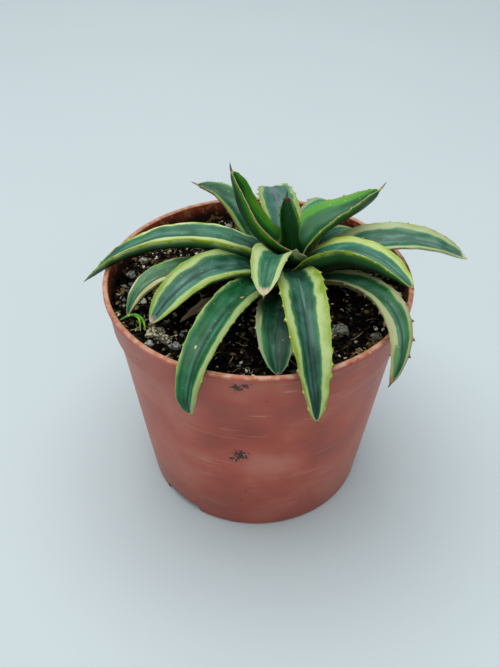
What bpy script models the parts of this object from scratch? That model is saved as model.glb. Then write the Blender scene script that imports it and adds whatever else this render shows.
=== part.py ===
"""A small variegated agave in a round plastic nursery pot.

The pot stands on Z = 0 with its axis on the Z axis. Sizes below are in millimetres and degrees; a
bearing is counted anticlockwise from +X, seen from above, and -Y is the front. The plant grows a little
off the pot's axis.
"""

import math

import bmesh
import bpy
from mathutils import Matrix, Vector, noise

MM = 0.001

# ---- Driving dimensions -------------------------------------------------------------------------------

POT_HEIGHT = 84.5
RIM_RADIUS = 52.5
BASE_RADIUS = 40.5
WALL = 1.1
FLOOR = 1.6
FOOT_FILLET = 1.2
COLLAR_HEIGHT = 13.3
COLLAR_STEP = 1.2
COLLAR_TAPER = 1.3
LIP_HEIGHT = 1.8
LIP_OVERHANG = 0.6
LIP_ROUND = 0.4
POT_SIDES = 72

DRAIN_BEARINGS = (227.6, 47.6)
DRAIN_HEIGHT = 3.5
DRAIN_WIDTH = 17.0
DRAIN_REACH = 12.5
DRAIN_HOLE_RADIUS = 2.6

GAP = 0.3

SOIL_DROP = 9.0
SOIL_LUMP = 1.0
SOIL_LUMP_SIZE = 6.0
SOIL_BANK = 1.6
SOIL_CELL = 3.8
SOIL_CELL_ROUND = 5.2

PLANT_X = 10.5
PLANT_Y = 6.0
STEM_RADIUS = 6.5
STEM_TOP_RADIUS = 2.4
STEM_TIERS = 8.5
STEM_DEPTH = 14.0
STEM_ROOT_RADIUS = 3.0
STEM_SIDES = 24

BLOCK_STEPS = 6
HOLE_SIDES = 20
FILLET_START = 0.3

LEAF_STATIONS = 19
LEAF_THICKNESS = 2.0
LEAF_BASE_SHARE = 0.5
LEAF_FULL_WIDTH_AT = 0.35
LEAF_CURVE = 1.3
LEAF_CHANNEL = 18.0
LEAF_TAPER = 4.0
LEAF_TIP_BLUNTNESS = 0.6
LEAF_SEAT = 0.8
LEAF_TIP_THICKNESS = 0.35
LEAF_CHANNEL_CURVE = 1.5
LEAF_SHOULDER = 0.2

# Where a leaf's tip is measured from: the plant's axis and the soil, the pot's rim and the soil, or the
# rim with the leaf lying on its top.
AXIS = "axis"
RIM = "rim"
RIM_TOP = "rim_top"

# ---- Materials ----------------------------------------------------------------------------------------


def linear(channel):
    value = channel / 255
    return value / 12.92 if value <= 0.04045 else ((value + 0.055) / 1.055) ** 2.4


def finish(name, red, green, blue, roughness):
    material = bpy.data.materials.new(name)
    material.use_nodes = True
    shader = material.node_tree.nodes["Principled BSDF"]
    shader.inputs["Base Color"].default_value = (linear(red), linear(green), linear(blue), 1)
    shader.inputs["Roughness"].default_value = roughness
    return material


# ---- Building tools -----------------------------------------------------------------------------------


def node_from(name, bm, material, smooth_angle=35):
    """Puts a closed bmesh, in millimetres, into the scene as one named part."""
    bmesh.ops.remove_doubles(bm, verts=bm.verts, dist=1e-4)
    bmesh.ops.recalc_face_normals(bm, faces=bm.faces)
    bmesh.ops.scale(bm, vec=(MM, MM, MM), verts=bm.verts)
    mesh = bpy.data.meshes.new(name)
    bm.to_mesh(mesh)
    bm.free()
    mesh.shade_smooth()
    mesh.set_sharp_from_angle(angle=math.radians(smooth_angle))
    part = bpy.data.objects.new(name, mesh)
    bpy.context.scene.collection.objects.link(part)
    if material:
        mesh.materials.append(material)
    return part


def bridge_rings(bm, rings):
    """Joins each ring of vertices to the next with quads; every ring has the same number of vertices."""
    for lower, upper in zip(rings, rings[1:]):
        count = len(lower)
        for i in range(count):
            j = (i + 1) % count
            bm.faces.new((lower[i], lower[j], upper[j], upper[i]))


def turned(profile, sides):
    """Turns an outline of (radius, height) points, which starts and ends on the axis, round the Z axis."""
    bm = bmesh.new()
    rings = []
    for radius, height in profile[1:-1]:
        ring = []
        for i in range(sides):
            angle = math.tau * i / sides
            ring.append(bm.verts.new((radius * math.cos(angle), radius * math.sin(angle), height)))
        rings.append(ring)
    bridge_rings(bm, rings)
    for (_, height), ring in ((profile[0], rings[0]), (profile[-1], rings[-1])):
        centre = bm.verts.new((0, 0, height))
        for i in range(sides):
            bm.faces.new((centre, ring[i], ring[(i + 1) % sides]))
    return bm


def cutter_from(name, bm):
    cutter = node_from(name, bm, None)
    cutter.hide_render = True
    cutter.display_type = "WIRE"
    return cutter


def boolean(part, cutter, operation):
    modifier = part.modifiers.new(cutter.name, "BOOLEAN")
    modifier.operation = operation
    modifier.object = cutter


def sector_block(inner, outer, half_width, low, high, bearing):
    """A block with parallel sides along a bearing, whose two ends follow circles about the pot's axis."""
    bm = bmesh.new()
    outline = []
    for radius, sign in ((outer, 1), (inner, -1)):
        half_angle = math.asin(half_width / radius)
        for i in range(BLOCK_STEPS + 1):
            angle = math.radians(bearing) + sign * half_angle * (2 * i / BLOCK_STEPS - 1)
            outline.append((radius * math.cos(angle), radius * math.sin(angle)))
    rings = [[bm.verts.new((x, y, z)) for x, y in outline] for z in (low, high)]
    bridge_rings(bm, rings)
    for ring in rings:
        bm.faces.new(ring)
    return bm


# ---- Pot ----------------------------------------------------------------------------------------------


COLLAR_FOOT = POT_HEIGHT - COLLAR_HEIGHT
COLLAR_TOP_RADIUS = RIM_RADIUS - LIP_OVERHANG
COLLAR_FOOT_RADIUS = COLLAR_TOP_RADIUS - COLLAR_TAPER
BODY_TOP_RADIUS = COLLAR_FOOT_RADIUS - COLLAR_STEP
LEDGE = COLLAR_FOOT + WALL


def between(low, high, share):
    return low + (high - low) * share


def body_outer(height):
    return between(BASE_RADIUS, BODY_TOP_RADIUS, height / COLLAR_FOOT)


def collar_inner(height):
    share = (height - COLLAR_FOOT) / COLLAR_HEIGHT
    return between(COLLAR_FOOT_RADIUS, COLLAR_TOP_RADIUS, share) - WALL


def pot_profile():
    lip_foot = POT_HEIGHT - LIP_HEIGHT
    inner_rim = COLLAR_TOP_RADIUS - WALL
    return [
        (0, 0),
        (BASE_RADIUS - FOOT_FILLET, 0),
        (BASE_RADIUS - FOOT_FILLET * FILLET_START, FOOT_FILLET * FILLET_START),
        (body_outer(FOOT_FILLET), FOOT_FILLET),
        (BODY_TOP_RADIUS, COLLAR_FOOT),
        (COLLAR_FOOT_RADIUS, COLLAR_FOOT),
        (COLLAR_TOP_RADIUS, lip_foot - LIP_OVERHANG),
        (RIM_RADIUS, lip_foot),
        (RIM_RADIUS, POT_HEIGHT - LIP_ROUND),
        (RIM_RADIUS - LIP_ROUND, POT_HEIGHT),
        (inner_rim + LIP_ROUND, POT_HEIGHT),
        (inner_rim, POT_HEIGHT - LIP_ROUND),
        (collar_inner(LEDGE), LEDGE),
        (body_outer(LEDGE) - WALL, LEDGE),
        (body_outer(FLOOR) - WALL, FLOOR),
        (0, FLOOR),
    ]


def drain_blocks(bearing):
    """The raised roof over a drain recess, and the recess below it, which opens in the pot's foot."""
    half = DRAIN_WIDTH / 2
    inner = BASE_RADIUS - DRAIN_REACH
    roof_top = DRAIN_HEIGHT + FLOOR
    roof = sector_block(inner - WALL, BASE_RADIUS - GAP, half + WALL, FLOOR / 2, roof_top, bearing)
    recess = sector_block(inner, RIM_RADIUS, half, -FLOOR, DRAIN_HEIGHT, bearing)
    return roof, recess


def make_pot(material):
    pot = node_from("pot", turned(pot_profile(), POT_SIDES), material)
    for number, bearing in enumerate(DRAIN_BEARINGS, 1):
        roof, recess = drain_blocks(bearing)
        boolean(pot, cutter_from(f"drain_roof_{number}", roof), "UNION")
        boolean(pot, cutter_from(f"drain_recess_{number}", recess), "DIFFERENCE")
        hole = bmesh.new()
        distance = BASE_RADIUS - DRAIN_REACH / 2
        turn = Matrix.Rotation(math.radians(bearing), 4, "Z")
        place = turn @ Matrix.Translation((distance, 0, DRAIN_HEIGHT))
        bmesh.ops.create_cone(
            hole,
            cap_ends=True,
            segments=HOLE_SIDES,
            radius1=DRAIN_HOLE_RADIUS,
            radius2=DRAIN_HOLE_RADIUS,
            depth=4 * FLOOR,
            matrix=place,
        )
        boolean(pot, cutter_from(f"drain_hole_{number}", hole), "DIFFERENCE")
    return pot


# ---- Potting soil -------------------------------------------------------------------------------------


SOIL_EDGE = collar_inner(POT_HEIGHT - SOIL_DROP) - GAP
SOIL_RINGS = round(SOIL_EDGE / SOIL_CELL)
SOIL_SIDES = round(math.tau * SOIL_EDGE / SOIL_CELL_ROUND)


def soil_height(x, y):
    """The height of the soil's lumpy surface, which banks up a little towards the pot's wall."""
    lumps = noise.noise(Vector((x, y, 3.0)) / SOIL_LUMP_SIZE)
    lumps += 0.5 * noise.noise(Vector((x, y, 9.0)) / (SOIL_LUMP_SIZE / 2))
    bank = SOIL_BANK * (math.hypot(x, y) / RIM_RADIUS) ** 3
    return POT_HEIGHT - SOIL_DROP + bank + SOIL_LUMP * lumps


def make_soil(material):
    bm = bmesh.new()
    bottom = FLOOR + GAP
    ledge = LEDGE + GAP
    side = (
        (body_outer(bottom) - WALL - GAP, bottom),
        (body_outer(ledge) - WALL - GAP, ledge),
        (collar_inner(ledge) - GAP, ledge),
    )
    angles = [math.tau * i / SOIL_SIDES for i in range(SOIL_SIDES)]
    rings = []
    for radius, height in side:
        rings.append([bm.verts.new((radius * math.cos(a), radius * math.sin(a), height)) for a in angles])
    for step in range(SOIL_RINGS):
        radius = SOIL_EDGE * (1 - step / SOIL_RINGS)
        ring = []
        for a in angles:
            x, y = radius * math.cos(a), radius * math.sin(a)
            ring.append(bm.verts.new((x, y, soil_height(x, y))))
        rings.append(ring)
    bridge_rings(bm, rings)
    for ring, centre in ((rings[0], (0, 0, bottom)), (rings[-1], (0, 0, soil_height(0, 0)))):
        middle = bm.verts.new(centre)
        for i in range(SOIL_SIDES):
            bm.faces.new((middle, ring[i], ring[(i + 1) % SOIL_SIDES]))
    soil = node_from("potting_soil", bm, material)
    for number, bearing in enumerate(DRAIN_BEARINGS, 1):
        clear = sector_block(
            BASE_RADIUS - DRAIN_REACH - WALL - GAP,
            RIM_RADIUS,
            DRAIN_WIDTH / 2 + WALL + GAP,
            0,
            DRAIN_HEIGHT + FLOOR + GAP,
            bearing,
        )
        boolean(soil, cutter_from(f"soil_over_drain_{number}", clear), "DIFFERENCE")
    socket = cutter_from("stem_socket", turned(stem_profile(GAP), STEM_SIDES))
    socket.location = (PLANT_X * MM, PLANT_Y * MM, 0)
    boolean(soil, socket, "DIFFERENCE")
    return soil


# ---- Stem ---------------------------------------------------------------------------------------------


STEM_FOOT = POT_HEIGHT - SOIL_DROP
STEM_HEIGHT = STEM_TIERS * LEAF_THICKNESS
STEM_TOP = STEM_FOOT + STEM_HEIGHT


def stem_radius(height):
    """The stem's radius at a height above the soil's level."""
    return between(STEM_RADIUS, STEM_TOP_RADIUS, height / STEM_HEIGHT)


def stem_profile(clearance=0.0):
    """The short rootstock: a blunt root end in the soil, and a cone that the leaves grow from."""
    bottom = STEM_FOOT - STEM_DEPTH - clearance
    return [
        (0, bottom),
        (STEM_ROOT_RADIUS + clearance, bottom),
        (STEM_RADIUS + clearance, STEM_FOOT - STEM_DEPTH / 2),
        (STEM_RADIUS + clearance, STEM_FOOT),
        (STEM_TOP_RADIUS + clearance, STEM_TOP),
        (STEM_TOP_RADIUS / 2 + clearance, STEM_TOP + STEM_TOP_RADIUS / 2 + clearance),
        (0, STEM_TOP + STEM_TOP_RADIUS / 2 + clearance),
    ]


def make_stem(material):
    stem = node_from("stem", turned(stem_profile(), STEM_SIDES), material)
    stem.location = (PLANT_X * MM, PLANT_Y * MM, 0)
    return stem


# ---- Leaves -------------------------------------------------------------------------------------------


def direction(bearing, elevation):
    across = math.cos(math.radians(elevation))
    return Vector(
        (
            across * math.cos(math.radians(bearing)),
            across * math.sin(math.radians(bearing)),
            math.sin(math.radians(elevation)),
        )
    )


def rim_distance(bearing):
    """How far the pot's rim is from the plant's axis along a bearing."""
    plant = Vector((PLANT_X, PLANT_Y, 0))
    ahead = plant.dot(direction(bearing, 0))
    return math.sqrt(RIM_RADIUS**2 - plant.length_squared + ahead**2) - ahead


class Leaf:
    """How one leaf grows.

    It leaves the stem on a heading, as many leaf thicknesses above the soil as its tier, climbing at rise
    degrees. Its tip is out at a bearing and a reach, at tip_height, where it dives downwards and has swung
    sideways by swing degrees. The reach and the tip's height are from the plant's axis and the soil; with
    tip_from RIM the reach is past the rim, and with RIM_TOP the height is that of the leaf's underside
    above the rim as well. width is across its widest part, and roll turns its face about its length on
    the way to the tip.
    """

    def __init__(
        self, name, heading, tier, rise, bearing, reach, tip_height, dive, swing, width, roll, **more
    ):
        self.name = name
        self.heading = heading
        self.height = tier * LEAF_THICKNESS
        self.rise = rise
        self.bearing = bearing
        self.reach = reach
        self.tip_height = tip_height
        self.dive = dive
        self.swing = swing
        self.width = width
        self.roll = roll
        self.channel = more.get("channel", LEAF_CHANNEL)
        self.taper = more.get("taper", LEAF_TAPER)
        self.thickness = more.get("thickness", LEAF_THICKNESS)
        self.base_share = more.get("base_share", LEAF_BASE_SHARE)
        self.tip_from = more.get("tip_from", AXIS)

    def midrib(self, share):
        """A point on the leaf's midrib, from the stem at 0 to the tip at 1."""
        foot = Vector((PLANT_X, PLANT_Y, STEM_FOOT))
        out = stem_radius(self.height) + LEAF_SEAT
        start = foot + out * direction(self.heading, 0) + Vector((0, 0, self.height))
        reach = self.reach + (rim_distance(self.bearing) if self.tip_from in (RIM, RIM_TOP) else 0)
        tip_height = self.tip_height + (SOIL_DROP + self.thickness if self.tip_from == RIM_TOP else 0)
        end = foot + reach * direction(self.bearing, 0) + Vector((0, 0, tip_height))
        pull = LEAF_CURVE * (end - start).length
        leaving = direction(self.heading, self.rise) * pull
        arriving = direction(self.bearing + self.swing, -self.dive) * pull
        t = share
        point = (2 * t**3 - 3 * t**2 + 1) * start + (t**3 - 2 * t**2 + t) * leaving
        return point + (3 * t**2 - 2 * t**3) * end + (t**3 - t**2) * arriving

    def half_width(self, share):
        opening = math.sin(math.pi / 2 * min(1, share / LEAF_FULL_WIDTH_AT))
        base = between(self.base_share, 1, opening)
        return self.width / 2 * base * (1 - share**self.taper) ** LEAF_TIP_BLUNTNESS

    def frames(self):
        """(point, across, up, share of the length) at each station, from the stem towards the tip."""
        points = [self.midrib(i / LEAF_STATIONS) for i in range(LEAF_STATIONS + 1)]
        lengths = [0.0]
        for a, b in zip(points, points[1:]):
            lengths.append(lengths[-1] + (b - a).length)
        found = []
        for i in range(LEAF_STATIONS):
            share = lengths[i] / lengths[-1]
            along = (points[i + 1] - points[max(0, i - 1)]).normalized()
            heading = between(self.heading, self.bearing + self.swing, i / LEAF_STATIONS)
            across = direction(heading + 90, 0)
            across = (across - across.dot(along) * along).normalized()
            up = along.cross(across)
            turn = math.radians(self.roll) * share
            turned_across = math.cos(turn) * across + math.sin(turn) * up
            turned_up = math.cos(turn) * up - math.sin(turn) * across
            found.append((points[i], turned_across, turned_up, share))
        return found, points[-1]

    def section(self, half, share):
        """The leaf's cross-section, as (across, up) points: a channel on top and a low keel below."""
        channel = math.radians(self.channel)
        deep = self.thickness * between(1, LEAF_TIP_THICKNESS, share**3)
        points = []
        for side, under in ((1, 0), (0.5, 0), (0, 0), (-0.5, 0), (-1, 1), (-0.5, 1), (0, 1), (0.5, 1)):
            lift = half * math.sin(channel) * abs(side) ** LEAF_CHANNEL_CURVE
            keel = deep * (1 - LEAF_SHOULDER * abs(side) - (1 - LEAF_SHOULDER) * side**4)
            points.append((half * math.cos(channel) * side, lift - under * keel))
        return points

    def build(self, material):
        bm = bmesh.new()
        frames, tip = self.frames()
        rings = []
        for point, across, up, share in frames:
            half = self.half_width(share)
            ring = [bm.verts.new(point + a * across + b * up) for a, b in self.section(half, share)]
            rings.append(ring)
        bridge_rings(bm, rings)
        bm.faces.new(rings[0])
        end = bm.verts.new(tip)
        last = rings[-1]
        for i in range(len(last)):
            bm.faces.new((end, last[i], last[(i + 1) % len(last)]))
        return node_from(self.name, bm, material, 60)


LEAVES = (
    Leaf("leaf_left_low", 190, 1.25, 22, 203, -6.5, 3.5, 62, 20, 12.5, 8, tip_from=RIM),
    Leaf("leaf_right_drooping", 333, 1.45, 38, 297, 10.8, -6.5, 51, -74, 9.5, 16, tip_from=RIM_TOP),
    Leaf("leaf_front_low", 267, 1.05, 22, 265, -6.4, 4.5, 41, 13, 16, 7, tip_from=RIM, base_share=0.4),
    Leaf("leaf_back_right_low", 87, 1.25, 28, 82, -10.2, 4.5, 36, 4, 12, 0, tip_from=RIM),
    Leaf("leaf_back_left_low", 134, 2, 30, 128, -19.9, 5.5, 38, -4, 12, 0, tip_from=RIM),
    Leaf("leaf_right_small", 46, 1.95, 38, 44, -5.7, 8.5, 20, -4, 10, -14, tip_from=RIM),
    Leaf("leaf_front_left", 231, 1.95, 39, 243, 5.3, -15, 111, 6, 12.5, 4, tip_from=RIM_TOP, base_share=0.4),
    Leaf("leaf_right_long", 9, 3.25, 34, 3, 20.6, -1, 38, 16, 14, 18, tip_from=RIM_TOP, base_share=0.4),
    Leaf("leaf_left_mid", 202, 3.25, 36, 214, -10.6, 6.5, 44, 6, 14.5, -16, tip_from=RIM, channel=16,
         base_share=0.4),
    Leaf("leaf_back_right", 50, 4.25, 48, 63, -6, 15.5, 21, -5, 13, -4, tip_from=RIM),
    Leaf("leaf_back_left", 146, 3.55, 35, 135, -7.4, 21.5, -3, 23, 15, 10, tip_from=RIM, channel=22,
         base_share=0.4),
    Leaf("leaf_right_arched", 334, 4.95, 54, 325, -0.2, 18.5, 29, -10, 12.5, -9, tip_from=RIM),
    Leaf("leaf_front_broad", 276, 4.25, 45, 276, 8.8, -13, 76, 26, 15, -8, tip_from=RIM_TOP),
    Leaf("leaf_left_long", 177, 5.65, 33, 180, 8.3, -9.5, 52, -12, 11.5, 5, tip_from=RIM_TOP,
         channel=12, base_share=0.4),
    Leaf("leaf_back_centre", 100, 5.45, 64, 98, 41, 16.5, 28, -6, 14, -6),
    Leaf("leaf_front_short", 247, 6.5, 49, 255, 35, 20.5, 39, 10, 14, 0, channel=25, base_share=0.7),
    Leaf("leaf_upper_right", 30, 7.15, 54, 22, 33, 31.5, -44, -9, 17, -24, channel=26),
    Leaf("leaf_upper_left", 186, 8, 38, 178, 19.5, 44, -73, -5, 14.5, -7, channel=34, taper=3,
         base_share=0.7),
    Leaf("leaf_spear", 276, 8.65, 88, 252, 6, 38.5, -93, 0, 9, 0, channel=42, taper=3, base_share=0.9),
)

DRY_LEAF = Leaf("leaf_dry", 222, 0.45, 12, 215, -20.5, 2.9, 12, 6, 9, 20, tip_from=RIM, thickness=0.8,
                channel=30, taper=2)

# ---- Weed sprout and perlite --------------------------------------------------------------------------

SPROUT_THICKNESS = 1.2
SPROUT_ROUTE = (
    # (bearing, distance in from the soil's edge, rise above the soil)
    (210.2, 6.8, 0),
    (207.9, 7.3, 1.8),
    (204.4, 6.1, 2.8),
    (202.3, 3.8, 2.4),
    (202.5, 0.9, 1.0),
)

PERLITE_ROUGHNESS = 0.35
PERLITE_FLATNESS = 0.75
PERLITE = (
    # (bearing, distance in from the soil's edge, size)
    (216, 8.7, 4.2),
    (222, 9.8, 3.0),
    (220, 4.6, 2.4),
    (229, 9.6, 2.8),
    (242, 14.4, 2.2),
    (321, 15.5, 4.4),
    (327, 4.1, 2.6),
    (336, 3.2, 2.2),
    (169, 3.8, 3.0),
    (157, 4.4, 2.6),
    (114, 9.8, 2.8),
    (105, 5.7, 2.2),
)


def on_soil(bearing, inset):
    """The x and y of a place on the soil, at a bearing and a distance in from the soil's edge."""
    place = (SOIL_EDGE - inset) * direction(bearing, 0)
    return place.x, place.y


def make_sprout(material):
    """A thin seedling stalk that rises from the soil and hooks over."""
    curve = bpy.data.curves.new("weed_sprout", "CURVE")
    curve.dimensions = "3D"
    curve.bevel_depth = SPROUT_THICKNESS / 2 * MM
    curve.bevel_resolution = 2
    curve.use_fill_caps = True
    curve.resolution_u = 4
    spline = curve.splines.new("NURBS")
    spline.points.add(len(SPROUT_ROUTE) - 1)
    ground = SPROUT_THICKNESS / 2 + GAP
    for point, (bearing, inset, rise) in zip(spline.points, SPROUT_ROUTE):
        x, y = on_soil(bearing, inset)
        point.co = (x * MM, y * MM, (soil_height(x, y) + ground + rise) * MM, 1)
    spline.order_u = 4
    spline.use_endpoint_u = True
    sprout = bpy.data.objects.new("weed_sprout", curve)
    bpy.context.scene.collection.objects.link(sprout)
    curve.materials.append(material)


def make_perlite(number, bearing, inset, size, material):
    """One rough pale lump, which sits on the soil."""
    x, y = on_soil(bearing, inset)
    bm = bmesh.new()
    bmesh.ops.create_icosphere(bm, subdivisions=2, radius=size / 2)
    for vert in bm.verts:
        vert.co *= 1 + PERLITE_ROUGHNESS * noise.noise(vert.co / size * 2 + Vector((0, 0, number)))
        vert.co.z *= PERLITE_FLATNESS
    top = max(soil_height(x + vert.co.x, y + vert.co.y) - vert.co.z for vert in bm.verts)
    bmesh.ops.translate(bm, vec=(x, y, top + GAP), verts=bm.verts)
    node_from(f"perlite_{number:02d}", bm, material)


# ---- Assembly -----------------------------------------------------------------------------------------


def clear_scene():
    for existing in list(bpy.data.objects):
        bpy.data.objects.remove(existing)


def main():
    clear_scene()
    make_pot(finish("pot_plastic", 152, 88, 76, 0.5))
    make_soil(finish("potting_soil", 40, 33, 28, 0.95))
    make_stem(finish("stem_tissue", 70, 92, 52, 0.7))
    leaf_skin = finish("leaf_skin", 62, 100, 70, 0.45)
    for leaf in LEAVES:
        leaf.build(leaf_skin)
    DRY_LEAF.build(finish("dry_leaf", 110, 92, 72, 0.8))
    make_sprout(finish("sprout_skin", 84, 140, 40, 0.5))
    perlite = finish("perlite", 190, 184, 170, 0.9)
    for number, (bearing, inset, size) in enumerate(PERLITE, 1):
        make_perlite(number, bearing, inset, size, perlite)


main()
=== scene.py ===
"""The looks of a young variegated agave in a round plastic nursery pot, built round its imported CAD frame.

Lengths are given in millimetres and turned to metres by MM. A bearing is counted anticlockwise from +X, seen
from above, and the front of the pot faces -Y.
"""

import math
import random

import bmesh
import bpy
import numpy as np
from mathutils import Matrix, Vector, noise
from mathutils.bvhtree import BVHTree


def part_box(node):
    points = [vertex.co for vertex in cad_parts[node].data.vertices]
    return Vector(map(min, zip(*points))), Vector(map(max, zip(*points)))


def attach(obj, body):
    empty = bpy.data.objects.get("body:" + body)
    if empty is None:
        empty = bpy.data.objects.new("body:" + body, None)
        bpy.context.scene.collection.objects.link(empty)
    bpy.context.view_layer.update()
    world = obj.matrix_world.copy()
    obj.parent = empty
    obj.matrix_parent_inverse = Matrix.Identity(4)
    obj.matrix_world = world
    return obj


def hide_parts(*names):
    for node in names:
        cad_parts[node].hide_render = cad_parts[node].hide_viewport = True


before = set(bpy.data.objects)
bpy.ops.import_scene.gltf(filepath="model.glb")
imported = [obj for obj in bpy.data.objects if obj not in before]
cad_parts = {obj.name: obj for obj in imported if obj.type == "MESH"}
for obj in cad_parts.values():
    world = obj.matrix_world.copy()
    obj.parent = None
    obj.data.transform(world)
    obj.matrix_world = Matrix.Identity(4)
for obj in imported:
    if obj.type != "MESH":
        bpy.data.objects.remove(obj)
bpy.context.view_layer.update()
MM = 0.001

# ---- Camera ------------------------------------------------------------------------------------------------
# A camera in front of the pot, a little left of its axis, which looks down on it and leans by half a degree.

VIEW_TILT = math.radians(39.55)
VIEW_LEAN = math.radians(0.575)
VIEW_DISTANCE = 281.8
VIEW_CENTRE = Vector((-2.57, 0, 58.15))
VIEW_LENS = 42
VIEW_SENSOR = 36
VIEW_NEAREST = 10

looking = Vector((0, math.cos(VIEW_TILT), -math.sin(VIEW_TILT)))
bpy.ops.object.camera_add()
camera = bpy.context.object
camera.name = "view_camera"
camera.data.lens = VIEW_LENS
camera.data.sensor_width = VIEW_SENSOR
camera.data.clip_start = VIEW_NEAREST * MM
camera.matrix_world = (
    Matrix.Translation((VIEW_CENTRE - VIEW_DISTANCE * looking) * MM)
    @ Matrix.Rotation(math.pi / 2 - VIEW_TILT, 4, "X")
    @ Matrix.Rotation(VIEW_LEAN, 4, "Z")
)
bpy.context.scene.camera = camera
bpy.context.scene.view_settings.view_transform = "Standard"

# ---- Floor and light ---------------------------------------------------------------------------------------
# A sheet of pale blue-grey seamless paper under everything, a wide softbox overhead, a weaker one in front,
# and a pale sky that fills the shadows.


def linear(colour):
    """Turns an sRGB hex colour into the linear RGBA that shaders take."""
    channels = [int(colour[i : i + 2], 16) / 255 for i in (1, 3, 5)]
    return tuple(c / 12.92 if c <= 0.04045 else ((c + 0.055) / 1.055) ** 2.4 for c in channels) + (1,)


def fill(tree, node, inputs):
    """Gives each named input of a node its link, its hex colour or its value."""
    for socket, value in inputs.items():
        if isinstance(value, bpy.types.NodeSocket):
            tree.links.new(value, node.inputs[socket])
        else:
            node.inputs[socket].default_value = linear(value) if isinstance(value, str) else value


def add_node(tree, kind, inputs=None, output=None, stops=(), **settings):
    """Adds a node with its settings, inputs and ramp stops. Returns the named output or the first live one."""
    made = tree.nodes.new("ShaderNode" + kind)
    for key, value in settings.items():
        setattr(made, key, value)
    fill(tree, made, inputs or {})
    if stops:
        elements = made.color_ramp.elements
        while len(elements) < len(stops):
            elements.new(0.5)
        for element, (place, colour) in zip(elements, stops):
            element.position = place
            element.color = linear(colour)
    return made.outputs[output] if output else next(socket for socket in made.outputs if socket.enabled)


def new_material(name):
    """A named material, its node tree and its Principled shader."""
    material = bpy.data.materials.new(name)
    material.use_nodes = True
    return material, material.node_tree, material.node_tree.nodes["Principled BSDF"]


def deselect():
    bpy.ops.object.select_all(action="DESELECT")


FLOOR_SIZE = 8000
PAPER = "#bfc9cb"
PAPER_CLOUD = "#bbc6c8"
PAPER_CLOUD_SIZE = 120

deselect()
bpy.ops.mesh.primitive_plane_add(size=FLOOR_SIZE * MM)
floor = bpy.context.object
floor.name = "seamless_paper"
# Seamless paper: matt, even, with the faintest clouding.
paper, tree, shader = new_material("seamless_paper")
place = add_node(tree, "TexCoord", output="Object")
cloud = add_node(tree, "TexNoise", {"Vector": place, "Scale": 1 / (PAPER_CLOUD_SIZE * MM)})
tint = add_node(tree, "Mix", {0: cloud, 6: PAPER, 7: PAPER_CLOUD}, data_type="RGBA")
fill(tree, shader, {"Base Color": tint, "Roughness": 0.9})
floor.data.materials.append(paper)

SOFTBOX_AIM = Vector((0, 0, 50)) * MM
SOFTBOXES = (
    # name, place in metres, side in metres, watts, colour
    ("softbox_overhead", (-0.12, 0.12, 1.15), 1.3, 15, "#ffffff"),
    ("softbox_front", (0.1, -1.0, 0.7), 1.0, 3.5, "#fdfeff"),
)
for name, place, side, watts, colour in SOFTBOXES:
    bpy.ops.object.light_add(type="AREA", location=place)
    light = bpy.context.object
    light.name = name
    light.data.size = side
    light.data.energy = watts
    light.data.color = linear(colour)[:3]
    light.rotation_euler = (SOFTBOX_AIM - Vector(place)).to_track_quat("-Z", "Y").to_euler()

SKY = "#dbe6ee"
SKY_STRENGTH = 0.47
world = bpy.data.worlds.new("studio_sky")
world.use_nodes = True
fill(world.node_tree, world.node_tree.nodes["Background"], {"Color": SKY, "Strength": SKY_STRENGTH})
bpy.context.scene.world = world

# ---- Pot ---------------------------------------------------------------------------------------------------
# A thin-walled nursery pot, injection moulded in one shot of terracotta-coloured polypropylene, with a wide
# collar under a small rim lip and two drain recesses in its foot. It is old stock: hazed, scuffed and dirty
# at the rim.

pot_low, pot_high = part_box("pot")
RIM_RADIUS = (pot_high.x - pot_low.x) / 2 / MM
POT_HEIGHT = pot_high.z / MM
BASE_RADIUS = 40.5
WALL = 1.1
POT_FLOOR = 1.6
FOOT_FILLET = 1.2
COLLAR_HEIGHT = 13.3
COLLAR_STEP = 1.2
COLLAR_TAPER = 1.3
COLLAR_ROUND = 0.4
LIP_HEIGHT = 1.8
LIP_OVERHANG = 0.6
LIP_ROUND = 0.45
POT_SIDES = 160
POT_SMOOTH_ANGLE = 32
DRAIN_BEARINGS = (227.6, 47.6)
DRAIN_HEIGHT = 3.5
DRAIN_WIDTH = 17
DRAIN_REACH = 12.5
DRAIN_HOLE_RADIUS = 2.6
DRAIN_HOLE_SIDES = 32
POT_WARP = 0.12
POT_WARP_SIZE = 30
POT_WARP_START = 10
RIM_WAVE = 0.15
RIM_WAVE_SIZE = 6

collar_foot = POT_HEIGHT - COLLAR_HEIGHT
collar_top_radius = RIM_RADIUS - LIP_OVERHANG
collar_foot_radius = collar_top_radius - COLLAR_TAPER
body_top_radius = collar_foot_radius - COLLAR_STEP
inner_rim = collar_top_radius - WALL


def outer_radius(height):
    """The radius of the pot's outside, in millimetres."""
    if height < collar_foot:
        return BASE_RADIUS + (body_top_radius - BASE_RADIUS) * height / collar_foot
    return collar_foot_radius + COLLAR_TAPER * (height - collar_foot) / COLLAR_HEIGHT


def quarter(centre, radius, start, steps=4):
    """The points of a quarter circle, anticlockwise from a start angle, about a centre (radius, height)."""
    angles = [math.radians(start + 90 * i / steps) for i in range(steps + 1)]
    return [(centre[0] + radius * math.cos(a), centre[1] + radius * math.sin(a)) for a in angles]


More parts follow.
